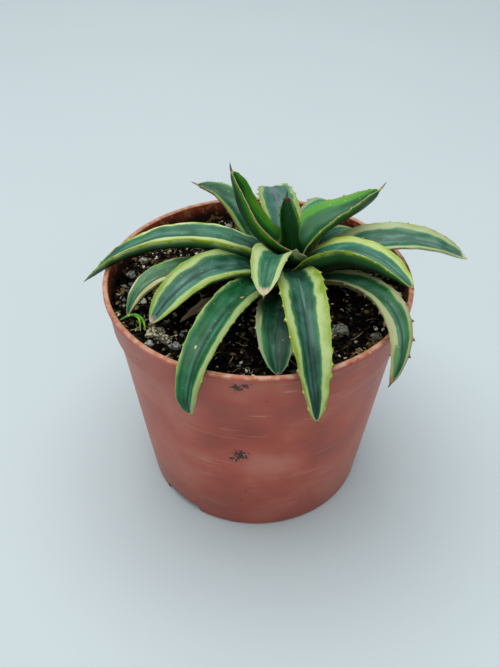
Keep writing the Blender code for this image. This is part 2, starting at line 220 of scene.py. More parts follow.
def pot_outline():
    """The wall's outline: from the middle of the underside, up outside, over the rim and down inside."""
    lip_foot = POT_HEIGHT - LIP_HEIGHT
    ledge = collar_foot + WALL
    outline = [(0, 0)]
    outline += quarter((BASE_RADIUS - FOOT_FILLET, FOOT_FILLET), FOOT_FILLET, -90)
    outline += [(outer_radius(collar_foot * share), collar_foot * share) for share in (0.25, 0.5, 0.75)]
    outline += [(body_top_radius, collar_foot - 0.5), (body_top_radius + 0.3, collar_foot)]
    outline += quarter((collar_foot_radius - COLLAR_ROUND, collar_foot + COLLAR_ROUND), COLLAR_ROUND, -90, 3)
    outline += [(outer_radius(lip_foot - 1.2), lip_foot - 1.2), (collar_top_radius + 0.15, lip_foot - 0.4)]
    outline += [(RIM_RADIUS, lip_foot + 0.2)]
    outline += quarter((RIM_RADIUS - LIP_ROUND, POT_HEIGHT - LIP_ROUND), LIP_ROUND, 0)
    outline += quarter((inner_rim + LIP_ROUND, POT_HEIGHT - LIP_ROUND), LIP_ROUND, 90)
    outline += [(outer_radius(ledge) - WALL, ledge), (body_top_radius - WALL, ledge)]
    outline += [(BASE_RADIUS - WALL, POT_FLOOR), (0, POT_FLOOR)]
    return outline


def new_object(name, data):
    """An object that shows a mesh or a curve."""
    made = bpy.data.objects.new(name, data)
    bpy.context.scene.collection.objects.link(made)
    return made


def spun(name, outline, sides):
    """Spins an outline of (radius, height) in millimetres round the Z axis into a closed smooth shell."""
    deselect()
    mesh = bpy.data.meshes.new(name)
    points = [(radius * MM, 0, height * MM) for radius, height in outline]
    mesh.from_pydata(points, [(i, i + 1) for i in range(len(points) - 1)], [])
    made = new_object(name, mesh)
    bpy.context.view_layer.objects.active = made
    made.select_set(True)
    bpy.ops.object.mode_set(mode="EDIT")
    bpy.ops.mesh.select_all(action="SELECT")
    bpy.ops.mesh.spin(steps=sides, angle=math.tau, center=(0, 0, 0), axis=(0, 0, 1))
    bpy.ops.mesh.select_all(action="SELECT")
    bpy.ops.mesh.remove_doubles(threshold=1e-6)
    bpy.ops.mesh.normals_make_consistent(inside=False)
    bpy.ops.object.mode_set(mode="OBJECT")
    return made


def cut(piece, cutter, operation):
    """Applies a Boolean with a cutter, and removes the cutter."""
    bpy.context.view_layer.objects.active = piece
    modifier = piece.modifiers.new(operation.lower(), "BOOLEAN")
    modifier.operation = operation
    modifier.object = cutter
    bpy.ops.object.modifier_apply(modifier=modifier.name)
    bpy.data.objects.remove(cutter)


def radial_block(inner, outer, width, low, high, bearing):
    """A box whose length runs out along a bearing from one radius to another."""
    deselect()
    turn = math.radians(bearing)
    middle = (inner + outer) / 2
    bpy.ops.mesh.primitive_cube_add(
        size=1,
        location=(middle * MM * math.cos(turn), middle * MM * math.sin(turn), (low + high) / 2 * MM),
        rotation=(0, 0, turn),
        scale=((outer - inner) * MM, width * MM, (high - low) * MM),
    )
    return bpy.context.object


pot = spun("nursery_pot", pot_outline(), POT_SIDES)
drain_inner = BASE_RADIUS - DRAIN_REACH
roof_inner = drain_inner - WALL
roof_outer = BASE_RADIUS - 0.3
roof_width = DRAIN_WIDTH + 2 * WALL
roof_height = DRAIN_HEIGHT + POT_FLOOR
for bearing in DRAIN_BEARINGS:
    roof = radial_block(roof_inner, roof_outer, roof_width, POT_FLOOR / 2, roof_height, bearing)
    deselect()
    bpy.ops.mesh.primitive_cylinder_add(
        vertices=POT_SIDES, radius=(BASE_RADIUS - 0.2) * MM, depth=6 * DRAIN_HEIGHT * MM
    )
    cut(roof, bpy.context.object, "INTERSECT")
    cut(pot, roof, "UNION")
    recess = radial_block(drain_inner, RIM_RADIUS, DRAIN_WIDTH, -POT_FLOOR, DRAIN_HEIGHT, bearing)
    cut(pot, recess, "DIFFERENCE")
    deselect()
    out = (BASE_RADIUS - DRAIN_REACH / 2) * MM
    turn = math.radians(bearing)
    bpy.ops.mesh.primitive_cylinder_add(
        vertices=DRAIN_HOLE_SIDES,
        radius=DRAIN_HOLE_RADIUS * MM,
        depth=4 * POT_FLOOR * MM,
        location=(out * math.cos(turn), out * math.sin(turn), DRAIN_HEIGHT * MM),
    )
    cut(pot, bpy.context.object, "DIFFERENCE")
for vert in pot.data.vertices:
    flat = Vector((vert.co.x, vert.co.y, 0))
    if flat.length < BASE_RADIUS / 2 * MM:
        continue
    warp = POT_WARP * noise.noise(vert.co / (POT_WARP_SIZE * MM)) * min(1, vert.co.z / (POT_WARP_START * MM))
    vert.co += flat.normalized() * warp * MM
    if vert.co.z > (POT_HEIGHT - 1) * MM:
        vert.co.z -= RIM_WAVE * MM * abs(noise.noise(vert.co / (RIM_WAVE_SIZE * MM)))
deselect()
pot.select_set(True)
bpy.context.view_layer.objects.active = pot
bpy.ops.object.shade_smooth_by_angle(angle=math.radians(POT_SMOOTH_ANGLE))

PLASTIC = "#a84c3a"
PLASTIC_DEEP = "#8f3b2b"
PLASTIC_HAZE = "#b8705f"
# Painted shade: the colour the outside is darkened to towards the floor.
PLASTIC_FLOOR_SHADE = "#7a3022"
# Painted shade: the near black that the inside is painted below the rim.
PLASTIC_INSIDE_SHADE = "#24130d"
# Painted highlight and wear: the pale line along the lip's top.
RIM_WEAR_AND_HIGHLIGHT = "#b98e74"
RIM_CRUST = "#9a7a45"
SCUFF = "#c4a094"
DUST = "#f3cabc"
GRIME = "#2b1d14"
HAZE_SIZE = 24
FLOOR_SHADE_HEIGHT = 34
SHADE_EDGE = 6
SHADE_EDGE_SIZE = 5
TIDE_SIZE = 2.2
CRUST_SIZE = 2.4
CRUST_DEPTH = 6
SPECK_GAP = 9
MOULD_GRAIN = 0.35
# The outside's pattern is laid out flat, as on a cylinder of this radius.
SKIN_RADIUS = 45
SCUFF_LENGTH = 22
SCUFF_WIDTH = 0.9
SCUFF_PATCH = 14
SCUFFS = (
    # lean in degrees, shift, strength, coarseness
    (18, 0, 0.6, 1),
    (-35, 7, 0.5, 1),
    (84, 13, 0.35, 1),
    (-28, 31, 0.4, 5),
)
MARK_GRAIN = 0.9
MARKS = (
    # bearing, height, half width and half height in mm, colour of the dirt
    (265.8, 80.6, 1.9, 1.3, "#33201a"),
    (262.9, 79.4, 2.0, 1.7, "#241712"),
    (263.4, 43.9, 2.7, 3.2, "#17100c"),
    (259.6, 41.4, 1.3, 1.2, "#2a1a13"),
    (261.5, 40.9, 0.9, 1.0, "#33221a"),
    (209.3, 76.9, 1.6, 1.1, "#3f6f2c"),
    (206.8, 79.0, 0.9, 1.6, "#2a2018"),
)


def painted(tree, under, tint, *amounts):
    """Lays a tint over a colour by the product of amounts: numbers, values and steps of (value, from, to)."""
    cover = 1.0
    for amount in amounts:
        if isinstance(amount, tuple):
            step = dict(enumerate(amount))
            amount = add_node(tree, "MapRange", step, interpolation_type="SMOOTHSTEP")
        cover = add_node(tree, "Math", {0: cover, 1: amount}, operation="MULTIPLY")
    return add_node(tree, "Mix", {0: cover, 6: under, 7: tint}, data_type="RGBA")


def pot_plastic():
    """Polypropylene, injection moulded: satin and warm, with a pinkish haze and fine handling scuffs."""
    material, tree, shader = new_material("moulded_polypropylene")
    place = add_node(tree, "TexCoord", output="Object")
    axes = add_node(tree, "SeparateXYZ", {0: place}).node.outputs
    height = axes[2]
    back = add_node(tree, "Math", {0: axes[1], 1: -1}, operation="MULTIPLY")
    angle = add_node(tree, "Math", {0: axes[0], 1: back}, operation="ARCTAN2")
    girth = add_node(tree, "Math", {0: angle, 1: SKIN_RADIUS * MM}, operation="MULTIPLY")
    skin = add_node(tree, "CombineXYZ", {0: girth, 1: height})

    tone = add_node(tree, "TexNoise", {"Vector": place, "Scale": 1 / (HAZE_SIZE * MM), "Detail": 4})
    haze = ((0.3, PLASTIC_DEEP), (0.5, PLASTIC), (0.72, PLASTIC_HAZE))
    colour = add_node(tree, "ValToRGB", {0: tone}, stops=haze)

    patch = add_node(tree, "TexNoise", {"Vector": skin, "Scale": 1 / (SCUFF_PATCH * MM), "Detail": 1})
    for lean, shift, strength, coarse in SCUFFS:
        drawn = {
            "Vector": skin,
            "Rotation": (0, 0, math.radians(lean)),
            "Scale": (1 / (SCUFF_LENGTH * coarse**0.5 * MM), 1 / (SCUFF_WIDTH * coarse * MM), 1),
            "Location": (shift, shift, 0),
        }
        turned = add_node(tree, "Mapping", drawn)
        streak = add_node(tree, "TexNoise", {"Vector": turned, "Scale": 1, "Detail": 3})
        colour = painted(tree, colour, SCUFF, strength, (streak, 0.6, 0.74), (patch, 0.45, 0.65))

    # Painted shade: the outside grows darker towards the bottom, as the floor's shade on it.
    low = add_node(tree, "MapRange", {0: height, 1: FLOOR_SHADE_HEIGHT * MM, 2: 0, 4: 0.6})
    colour = painted(tree, colour, PLASTIC_FLOOR_SHADE, low)
    spots = add_node(tree, "TexNoise", {"Vector": place, "Scale": 1 / (CRUST_SIZE * MM), "Detail": 5})
    # The lip's top is painted pale: partly a painted highlight, partly pale wear in patches.
    rim = add_node(tree, "MapRange", {0: height, 1: (POT_HEIGHT - 1.0) * MM, 2: (POT_HEIGHT - 0.4) * MM})
    worn = add_node(tree, "MapRange", {0: spots, 1: 0.6, 2: 0.42, 3: 0.1, 4: 0.95})
    colour = painted(tree, colour, RIM_WEAR_AND_HIGHLIGHT, rim, worn)
    flat = add_node(tree, "CombineXYZ", {0: axes[0], 1: axes[1]})
    radius = add_node(tree, "VectorMath", {0: flat}, operation="LENGTH")
    crust_foot = (POT_HEIGHT - CRUST_DEPTH) * MM
    top = add_node(tree, "MapRange", {0: height, 1: crust_foot, 2: (POT_HEIGHT - 0.6) * MM})
    inward = add_node(tree, "MapRange", {0: radius, 1: (RIM_RADIUS - 0.2) * MM, 2: inner_rim * MM})
    colour = painted(tree, colour, RIM_CRUST, (spots, 0.5, 0.57), top, inward)

    above_seam = add_node(tree, "Math", {0: height, 1: collar_foot * MM}, operation="SUBTRACT")
    off_seam = add_node(tree, "Math", {0: above_seam}, operation="ABSOLUTE")
    seam = add_node(tree, "MapRange", {0: off_seam, 1: 1.1 * MM, 2: 0.1 * MM, 4: 0.35})
    colour = painted(tree, colour, PLASTIC_DEEP, seam)
    speck = add_node(tree, "TexVoronoi", {"Vector": place, "Scale": 1 / (SPECK_GAP * MM)})
    dots = add_node(tree, "MapRange", {0: speck, 1: 0.07, 2: 0.03, 4: 0.6})
    colour = painted(tree, colour, GRIME, dots)
    smudge = add_node(tree, "TexNoise", {"Vector": skin, "Scale": 1 / (MARK_GRAIN * MM), "Detail": 5})
    broken = add_node(tree, "MapRange", {0: smudge, 1: 0.35, 2: 0.65, 4: 1.1})
    for bearing, up, half_wide, half_tall, mark in MARKS:
        spot = {
            "Vector": skin,
            "Location": (math.radians(bearing - 270) * SKIN_RADIUS * MM, up * MM, 0),
            "Scale": (half_wide * MM, half_tall * MM, 1),
        }
        sized = add_node(tree, "Mapping", spot, vector_type="TEXTURE")
        away = add_node(tree, "VectorMath", {0: sized}, operation="LENGTH")
        rough_edge = add_node(tree, "Math", {0: away, 1: broken}, operation="ADD")
        colour = painted(tree, colour, mark, 0.95, (rough_edge, 1.45, 1.05))

    rough = add_node(tree, "MapRange", {0: tone, 1: 0.3, 2: 0.7, 3: 0.4, 4: 0.58})
    grain = add_node(tree, "TexNoise", {"Vector": place, "Scale": 1 / (MOULD_GRAIN * MM), "Detail": 2})
    bump = add_node(tree, "Bump", {"Height": grain, "Strength": 0.12, "Distance": 0.05 * MM})
    fill(tree, shader, {"Base Color": colour, "Roughness": rough, "Normal": bump, "Specular IOR Level": 0.35})
    fill(tree, shader, {"Sheen Weight": 0.15, "Sheen Roughness": 0.45, "Sheen Tint": DUST})
    return material


def pot_inside():
    """The same plastic inside, unscuffed, painted near black below the rim as the shade inside the pot, with a
    ragged edge, and stained tan by dried water.
    """
    material, tree, shader = new_material("shaded_and_tan_stained_polypropylene")
    place = add_node(tree, "TexCoord", output="Object")
    height = add_node(tree, "SeparateXYZ", {0: place}, output="Z")
    # Painted shade: the inside is near black up to a ragged line below the rim, and plastic coloured above it.
    blots = add_node(tree, "TexNoise", {"Vector": place, "Scale": 1 / (SHADE_EDGE_SIZE * MM), "Detail": 4})
    level = add_node(tree, "Math", {0: blots, 1: SHADE_EDGE * MM, 2: height}, operation="MULTIPLY_ADD")
    brink = POT_HEIGHT + SHADE_EDGE / 2
    unshaded = add_node(tree, "MapRange", {0: level, 1: (brink - 5) * MM, 2: (brink - 0.5) * MM})
    colour = painted(tree, PLASTIC_INSIDE_SHADE, PLASTIC_DEEP, unshaded)
    tide = add_node(tree, "TexNoise", {"Vector": place, "Scale": 1 / (TIDE_SIZE * MM), "Detail": 5})
    colour = painted(tree, colour, RIM_CRUST, 0.6, (tide, 0.56, 0.66))
    bump = add_node(tree, "Bump", {"Height": tide, "Strength": 0.4, "Distance": 0.2 * MM})
    fill(tree, shader, {"Base Color": colour, "Roughness": 0.6, "Normal": bump, "Specular IOR Level": 0.25})
    return material


pot.data.materials.append(pot_plastic())
pot.data.materials.append(pot_inside())
# Faces inside the pot below the lip take the second material, with its painted shade.
for face in pot.data.polygons:
    out = math.hypot(face.center.x, face.center.y) / MM
    height = face.center.z / MM
    inner_face = POT_FLOOR - 0.1 < height < POT_HEIGHT - LIP_ROUND and out < outer_radius(height) - WALL / 2
    if inner_face and face.normal.z > -0.5:
        face.material_index = 1
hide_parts("pot")
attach(pot, "root")

# ---- Potting soil ------------------------------------------------------------------------------------------
# A peat mix pressed into the pot by hand: near-black crumbs with bark, straw-coloured fibres and pale grit on
# top. The CAD solid stays as the bulk of it, and a crumbled surface layer lies over it from wall to wall.

SOIL_LAYER = 3.0
SOIL_CELL = 0.42
SOIL_RISE = 0.35
SOIL_SINK = 1.6
CLOD_SIZE = 3.4
CLOD_HEIGHT = 1.5
CRUMB_SIZE = 1.3
CRUMB_HEIGHT = 1.0
SWELL_SIZE = 11
SWELL_HEIGHT = 0.7
CLOD_ROUNDNESS = 1.6
CRUMB_ROUNDNESS = 1.8
CRUMB_SHIFT = Vector((9, 4, 0))
BULK_REACH = 46
SOIL_DROP = 9
SOIL_TUCK = 0.25

soil_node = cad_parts["potting_soil"]
soil_tree = BVHTree.FromObject(soil_node, bpy.context.evaluated_depsgraph_get())
soil_radius = outer_radius(POT_HEIGHT - SOIL_DROP + 1) - WALL + SOIL_TUCK


def bulk_height(x, y):
    """The height of the CAD soil's top at a place, in millimetres."""
    hit = soil_tree.ray_cast(Vector((x, y, 2 * POT_HEIGHT)) * MM, Vector((0, 0, -1)))[0]
    return hit.z / MM if hit else POT_HEIGHT - SOIL_DROP


def soil_top(x, y):
    """The height of the crumbled surface at a place, in millimetres."""
    shrink = min(1, BULK_REACH / max(1, math.hypot(x, y)))
    place = Vector((x, y, 0))
    clods = 1 - noise.voronoi(place / CLOD_SIZE)[0][0] ** 2 * CLOD_ROUNDNESS
    crumbs = 1 - noise.voronoi(place / CRUMB_SIZE + CRUMB_SHIFT)[0][0] ** 2 * CRUMB_ROUNDNESS
    swell = noise.noise(place / SWELL_SIZE)
    height = bulk_height(x * shrink, y * shrink) + SOIL_RISE
    return height + CLOD_HEIGHT * clods + CRUMB_HEIGHT * crumbs + SWELL_HEIGHT * swell - SOIL_SINK


deselect()
cells = round(2 * soil_radius / SOIL_CELL)
bpy.ops.mesh.primitive_grid_add(x_subdivisions=cells, y_subdivisions=cells, size=2 * soil_radius * MM)
soil = bpy.context.object
soil.name = "soil_surface"
shape = bmesh.new()
shape.from_mesh(soil.data)
reach = soil_radius * MM
outside = [v for v in shape.verts if v.co.length > reach + SOIL_CELL * MM / 2]
bmesh.ops.delete(shape, geom=outside, context="VERTS")
for vert in shape.verts:
    if vert.is_boundary:
        vert.co *= reach / vert.co.length
    vert.co.z = soil_top(vert.co.x / MM, vert.co.y / MM) * MM
shape.to_mesh(soil.data)
shape.free()
bpy.context.view_layer.objects.active = soil
bpy.ops.object.mode_set(mode="EDIT")
bpy.ops.mesh.select_all(action="SELECT")
bpy.ops.mesh.extrude_region_move(TRANSFORM_OT_translate={"value": (0, 0, -SOIL_LAYER * MM)})
bpy.ops.mesh.select_all(action="SELECT")
bpy.ops.mesh.normals_make_consistent(inside=False)
bpy.ops.object.mode_set(mode="OBJECT")
soil.data.shade_smooth()

# The peat's browns are painted darker than peat, as the shade under the rosette's leaves.
PEAT = (
    (0.0, "#040303"),
    (0.45, "#090706"),
    (0.64, "#110d09"),
    (0.78, "#1d160e"),
    (0.88, "#2c2618"),
    (0.94, "#433b27"),
    (0.975, "#645c46"),
    (0.992, "#948e7a"),
)
PEAT_GRIT = 0.5


def mottled(tree, colour, pattern, darkest, lightest):
    """Shades a colour darker and lighter by a fine pattern."""
    shade = add_node(tree, "MapRange", {0: pattern, 1: 0.3, 2: 0.7, 3: darkest, 4: lightest})
    return add_node(tree, "Mix", {0: 1.0, 6: colour, 7: shade}, data_type="RGBA", blend_type="MULTIPLY")


def peat_mix(name, cell):
    """Potting compost, damp below and dry on top: dull, very dark and painted darker still as the shade under the
    rosette, each crumb its own brown, a few pale.
    """
    material, tree, shader = new_material(name)
    place = add_node(tree, "TexCoord", output="Object")
    crumbs = add_node(tree, "TexVoronoi", {"Vector": place, "Scale": 1 / (cell * MM)}, output="Color")
    pick = add_node(tree, "SeparateColor", {0: crumbs})
    colour = add_node(tree, "ValToRGB", {0: pick}, stops=PEAT)
    colour.node.color_ramp.interpolation = "CONSTANT"
    grit = add_node(tree, "TexNoise", {"Vector": place, "Scale": 1 / (PEAT_GRIT * MM), "Detail": 3})
    colour = mottled(tree, colour, grit, 0.35, 1.3)
    bump = add_node(tree, "Bump", {"Height": grit, "Strength": 0.7, "Distance": 0.25 * MM})
    fill(tree, shader, {"Base Color": colour, "Roughness": 0.95, "Normal": bump, "Specular IOR Level": 0.04})
    return material


soil.data.materials.append(peat_mix("peat_mix_surface", 0.8))
soil_node.data.materials.clear()
soil_node.data.materials.append(peat_mix("peat_mix_bulk", 1.6))
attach(soil, "root")

# ---- Bits in the soil --------------------------------------------------------------------------------------
# What lies loose on the mix: crumbs of peat and bark, grit, and short straw-coloured fibres, with more of the
# pale ones by the wall at the back left and in the front right. Crumbs and fibres are one scatter each.

# The darkest bits are painted near black, as the shade under the leaves.
BIT_COLOURS = (
    # share, colour
    (0.46, "#070504"),
    (0.2, "#120c08"),
    (0.1, "#2a1f13"),
    (0.08, "#6f5d3c"),
    (0.05, "#4b4b3a"),
    (0.04, "#978b6c"),
    (0.03, "#59646b"),
    (0.04, "#c4beaa"),
)
BIT_COUNT = 3400
BIT_SIZES = (0.3, 1.15)
BIT_REACH = soil_radius - 1.2
BIT_ROUGHNESS = 0.28
DRY_SHARE = 0.2
DRY_BEARINGS = (105, 215)
FIBRE_COUNT = 620
FIBRE_COLOURS = ("#7a6334", "#93804d", "#5c4526", "#a6966a", "#3d2b18")
FIBRE_SIDES = 3
FIBRE_STEPS = 4
FIBRE_THICKNESSES = (0.08, 0.2)
GRAIN_MOTTLE = 0.4


def pick_colour(chance):
    for share, colour in BIT_COLOURS:
        chance -= share
        if chance <= 0:
            return colour
    return BIT_COLOURS[-1][1]


def joined_mesh(name, points, faces, colours):
    """One mesh from lists of points and faces, with a colour for each point."""
    mesh = bpy.data.meshes.new(name)
    mesh.from_pydata(points, [], faces)
    shade = mesh.color_attributes.new("grain_colour", "FLOAT_COLOR", "POINT")
    shade.data.foreach_set("color", np.array(colours, np.float32).ravel())
    mesh.update()
    return new_object(name, mesh)


def coloured_grain(name, roughness, variation):
    """Dry loose matter: matt, each grain of its own colour, mottled finer than a grain."""
    material, tree, shader = new_material(name)
    own = add_node(tree, "Attribute", output="Color", attribute_name="grain_colour")
    place = add_node(tree, "TexCoord", output="Object")
    mottle = add_node(tree, "TexNoise", {"Vector": place, "Scale": 1 / (GRAIN_MOTTLE * MM), "Detail": 3})
    colour = mottled(tree, own, mottle, 1 - variation, 1 + variation)
    bump = add_node(tree, "Bump", {"Height": mottle, "Strength": 0.5, "Distance": 0.1 * MM})
    fill(tree, shader, {"Base Color": colour, "Normal": bump})
    fill(tree, shader, {"Roughness": roughness, "Specular IOR Level": 0.08})
    return material


def grain_shape():
    """The corners and faces of a round grain of unit radius."""
    grain = bmesh.new()
    bmesh.ops.create_icosphere(grain, subdivisions=1, radius=1)
    corners = [v.co.copy() for v in grain.verts]
    faces = [[v.index for v in f.verts] for f in grain.faces]
    grain.free()
    return corners, faces


draw = random.Random(41)
corners, grain_faces = grain_shape()
points, faces, colours = [], [], []
for _ in range(BIT_COUNT):
    far = BIT_REACH * math.sqrt(draw.random())
    bearing = draw.random() * math.tau
    chance = draw.random()
    if draw.random() < DRY_SHARE:
        far = draw.uniform(0.66, 1) * BIT_REACH
        bearing = math.radians(draw.uniform(*DRY_BEARINGS))
        chance = 0.5 + 0.5 * chance
    x, y = far * math.cos(bearing), far * math.sin(bearing)
    size = draw.uniform(*BIT_SIZES) * (1 if draw.random() < 0.9 else 1.6)
    stretch = Vector((1, draw.uniform(0.45, 0.9), draw.uniform(0.35, 0.7))) * size
    spin = Matrix.Rotation(draw.random() * math.tau, 3, "Z")
    spin = spin @ Matrix.Rotation(draw.uniform(-0.5, 0.5), 3, "X")
    middle = Vector((x, y, soil_top(x, y) + 0.25 * size))
    colour = linear(pick_colour(chance))
    first = len(points)
    for corner in corners:
        rough = corner * (1 + draw.uniform(-BIT_ROUGHNESS, BIT_ROUGHNESS))
        points.append((middle + spin @ (rough * stretch)) * MM)
        colours.append(colour)
    faces += [[first + i for i in face] for face in grain_faces]
bits = joined_mesh("soil_bits", points, faces, colours)
bits.data.materials.append(coloured_grain("peat_bark_and_grit", 0.85, 0.45))
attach(bits, "root")


def tube_faces(first, steps, sides):
    """The four-sided faces between successive rings of points, from the number of the first ring's first."""
    starts = range(first, first + steps * sides, sides)
    corners = [(a + i, a + (i + 1) % sides) for a in starts for i in range(sides)]
    return [[a, b, b + sides, a + sides] for a, b in corners]


def fibre(points, faces, colours, start, bearing, length, thickness, colour):
    """Adds one thin bent fibre that lies on the soil."""
    first = len(points)
    bend = draw.uniform(-1.2, 1.2)
    lift = draw.uniform(0.0, 0.9)
    for step in range(FIBRE_STEPS + 1):
        share = step / FIBRE_STEPS
        turn = bearing + bend * (share - 0.5)
        x = start[0] + length * (share - 0.5) * math.cos(turn)
        y = start[1] + length * (share - 0.5) * math.sin(turn)
        z = soil_top(x, y) + 0.2 + lift * math.sin(math.pi * share)
        girth = thickness * (0.4 + 0.6 * math.sin(math.pi * share))
        for side in range(FIBRE_SIDES):
            around = math.tau * side / FIBRE_SIDES
            across = girth * math.cos(around)
            offset = Vector((-across * math.sin(turn), across * math.cos(turn), girth * math.sin(around)))
            points.append((Vector((x, y, z)) + offset) * MM)
            colours.append(colour)
    faces += tube_faces(first, FIBRE_STEPS, FIBRE_SIDES)
    last = first + FIBRE_STEPS * FIBRE_SIDES
    faces.append([first + side for side in reversed(range(FIBRE_SIDES))])
    faces.append([last + side for side in range(FIBRE_SIDES)])


MOSS_PATCHES = (
    # bearing, spread in degrees, nearest and farthest radius, share of the fibres, lengths
    (316, 24, 44, 49.3, 0.3, (1.5, 4.5)),
    (128, 30, 40, 49.3, 0.2, (1.5, 4.5)),
    (0, 360, 8, 49, 0.5, (2, 7)),
)
points, faces, colours = [], [], []
for middle, spread, near, far, share, lengths in MOSS_PATCHES:
    for _ in range(round(FIBRE_COUNT * share)):
        out = draw.uniform(near**2, far**2) ** 0.5
        bearing = math.radians(middle + spread * (draw.random() - 0.5))
        spot = (out * math.cos(bearing), out * math.sin(bearing))
        long = draw.uniform(*lengths)
        colour = linear(draw.choice(FIBRE_COLOURS))
        turn = draw.random() * math.tau
        fibre(points, faces, colours, spot, turn, long, draw.uniform(*FIBRE_THICKNESSES), colour)
fibres = joined_mesh("soil_fibres", points, faces, colours)
fibres.data.materials.append(coloured_grain("dry_peat_fibre", 0.8, 0.3))
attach(fibres, "root")

# ---- Perlite -----------------------------------------------------------------------------------------------
# Lumps of expanded volcanic glass that were mixed into the compost: very light, chalky and pitted. Those at
# the front left have yellowed into a crumbly clump.

PERLITE_TINTS = {
    "perlite_01": "#d6cfa2",
    "perlite_02": "#cbc6a6",
    "perlite_04": "#8d8f8c",
    "perlite_06": "#7f8576",
    "perlite_07": "#8b8a72",
}
PERLITE_WHITE = "#bcb9ac"
PERLITE_PIT = "#3d382c"
PIT_SIZE = 0.8
# The swells and the knobs of a lump: how far each stands out, and how many go round it.
LUMP_SWELL = (0.45, 1.4)
LUMP_KNOB = (0.4, 2.6)
LUMP_CORE = 0.86
LUMP_WIDTHS = (1.25, 1.05)
LUMP_FLATNESS = 0.75
LUMP_SINK = 0.3


def perlite_skin(name, tint):
    """Expanded perlite: chalky, pitted like popcorn, greyer in its pits."""
    material, tree, shader = new_material(name)
    place = add_node(tree, "TexCoord", output="Object")
    pits = add_node(tree, "TexVoronoi", {"Vector": place, "Scale": 1 / (PIT_SIZE * MM)})
    deep = add_node(tree, "MapRange", {0: pits, 1: 0.15, 2: 0.75})
    colour = painted(tree, tint, PERLITE_PIT, deep)
    bump = add_node(tree, "Bump", {"Height": pits, "Strength": 0.6, "Distance": -0.2 * MM})
    fill(tree, shader, {"Base Color": colour, "Roughness": 0.9, "Normal": bump})
    return material


for node in sorted(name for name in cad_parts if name.startswith("perlite")):
    low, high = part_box(node)
    middle = (low + high) / 2
    deselect()
    bpy.ops.mesh.primitive_ico_sphere_add(subdivisions=4, radius=(high.x - low.x) / 2)
    grain = bpy.context.object
    grain.name = "grain_" + node
    for vert in grain.data.vertices:
        facing = vert.co.normalized()
        lumps = LUMP_SWELL[0] * noise.noise(facing * LUMP_SWELL[1] + middle / MM)
        lumps += LUMP_KNOB[0] * noise.voronoi(facing * LUMP_KNOB[1] + middle / MM)[0][0]
        vert.co *= LUMP_CORE + lumps
        vert.co.x *= LUMP_WIDTHS[0] if node in PERLITE_TINTS else LUMP_WIDTHS[1]
        vert.co.z *= LUMP_FLATNESS
        vert.co += middle - Vector((0, 0, LUMP_SINK * MM))
    grain.data.shade_smooth()
    grain.data.materials.append(perlite_skin(node + "_chalk", PERLITE_TINTS.get(node, PERLITE_WHITE)))
    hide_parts(node)
    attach(grain, "root")

# ---- Stem --------------------------------------------------------------------------------------------------
# The short rootstock at the rosette's heart, hidden by the leaves that clasp it. It is pale green where the
# youngest leaves leave it, but painted dark green here as the shade in the rosette's heart, and brown and fibrous
# with the scars of old leaves where it meets the soil.

STEM_SIDES = 48
STEM_RIDGE = 0.4
STEM_RIDGE_SIZE = 2.5
STEM_RIDGE_SQUEEZE = 2.5
STEM_FIBRE = 1.5
STEM_OUTLINE = (
    # share of the radius, share of the height
    (0, 0.01),
    (0.45, 0.03),
    (0.85, 0.2),
    (0.92, 0.42),
    (0.84, 0.55),
    (0.62, 0.75),
    (0.38, 0.92),
    (0.2, 0.985),
    (0, 0.995),
)
stem_low, stem_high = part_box("stem")
stem_middle = (stem_low + stem_high) / 2
stem_reach = (stem_high.x - stem_low.x) / 2 / MM
stem_height = (stem_high.z - stem_low.z) / MM
outline = [(out * stem_reach, stem_low.z / MM + up * stem_height) for out, up in STEM_OUTLINE]
stem = spun("rootstock", outline, STEM_SIDES)
for vert in stem.data.vertices:
    squeezed = Vector((vert.co.x, vert.co.y, vert.co.z * STEM_RIDGE_SQUEEZE))
    ridges = noise.noise(squeezed / (STEM_RIDGE_SIZE * MM))
    flat = Vector((vert.co.x, vert.co.y, 0))
    vert.co += flat.normalized() * STEM_RIDGE * ridges * MM * min(1, flat.length / (2 * MM))
    vert.co += Vector((stem_middle.x, stem_middle.y, 0))
stem.data.shade_smooth()
# Living stem tissue under dry leaf bases: matt and fibrous, green above and brown below, its green painted dark
# as the shade in the rosette's heart.
material, tree, shader = new_material("rootstock_bark")
place = add_node(tree, "TexCoord", output="Object")
height = add_node(tree, "SeparateXYZ", {0: place}, output="Z")
up = add_node(tree, "MapRange", {0: height, 1: stem_low.z + 0.45 * stem_height * MM, 2: stem_high.z})
band = add_node(tree, "TexNoise", {"Vector": place, "Scale": 1 / (STEM_FIBRE * MM), "Detail": 4})
mixed = add_node(tree, "Math", {0: up, 1: band}, operation="MULTIPLY")
# Painted shade: the greens are dark for the shade in the rosette's heart.
colour = add_node(tree, "ValToRGB", {0: mixed}, stops=((0.0, "#20170d"), (0.2, "#2c3415"), (0.45, "#3f5e1e")))
bump = add_node(tree, "Bump", {"Height": band, "Strength": 0.6, "Distance": 0.3 * MM})
fill(tree, shader, {"Base Color": colour, "Roughness": 0.75, "Normal": bump})
stem.data.materials.append(material)
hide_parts("stem")
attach(stem, "root")

# ---- Leaves ------------------------------------------------------------------------------------------------
# Nineteen thick succulent straps that grew from the stem in a rosette, each with a channel on top and a keel
# below. They are variegated: blue-green and grey with bloom down the middle, cream to lime along the margins,
# which carry small hooked horny teeth. Every tip ends in a brown spine, long on the young leaves.

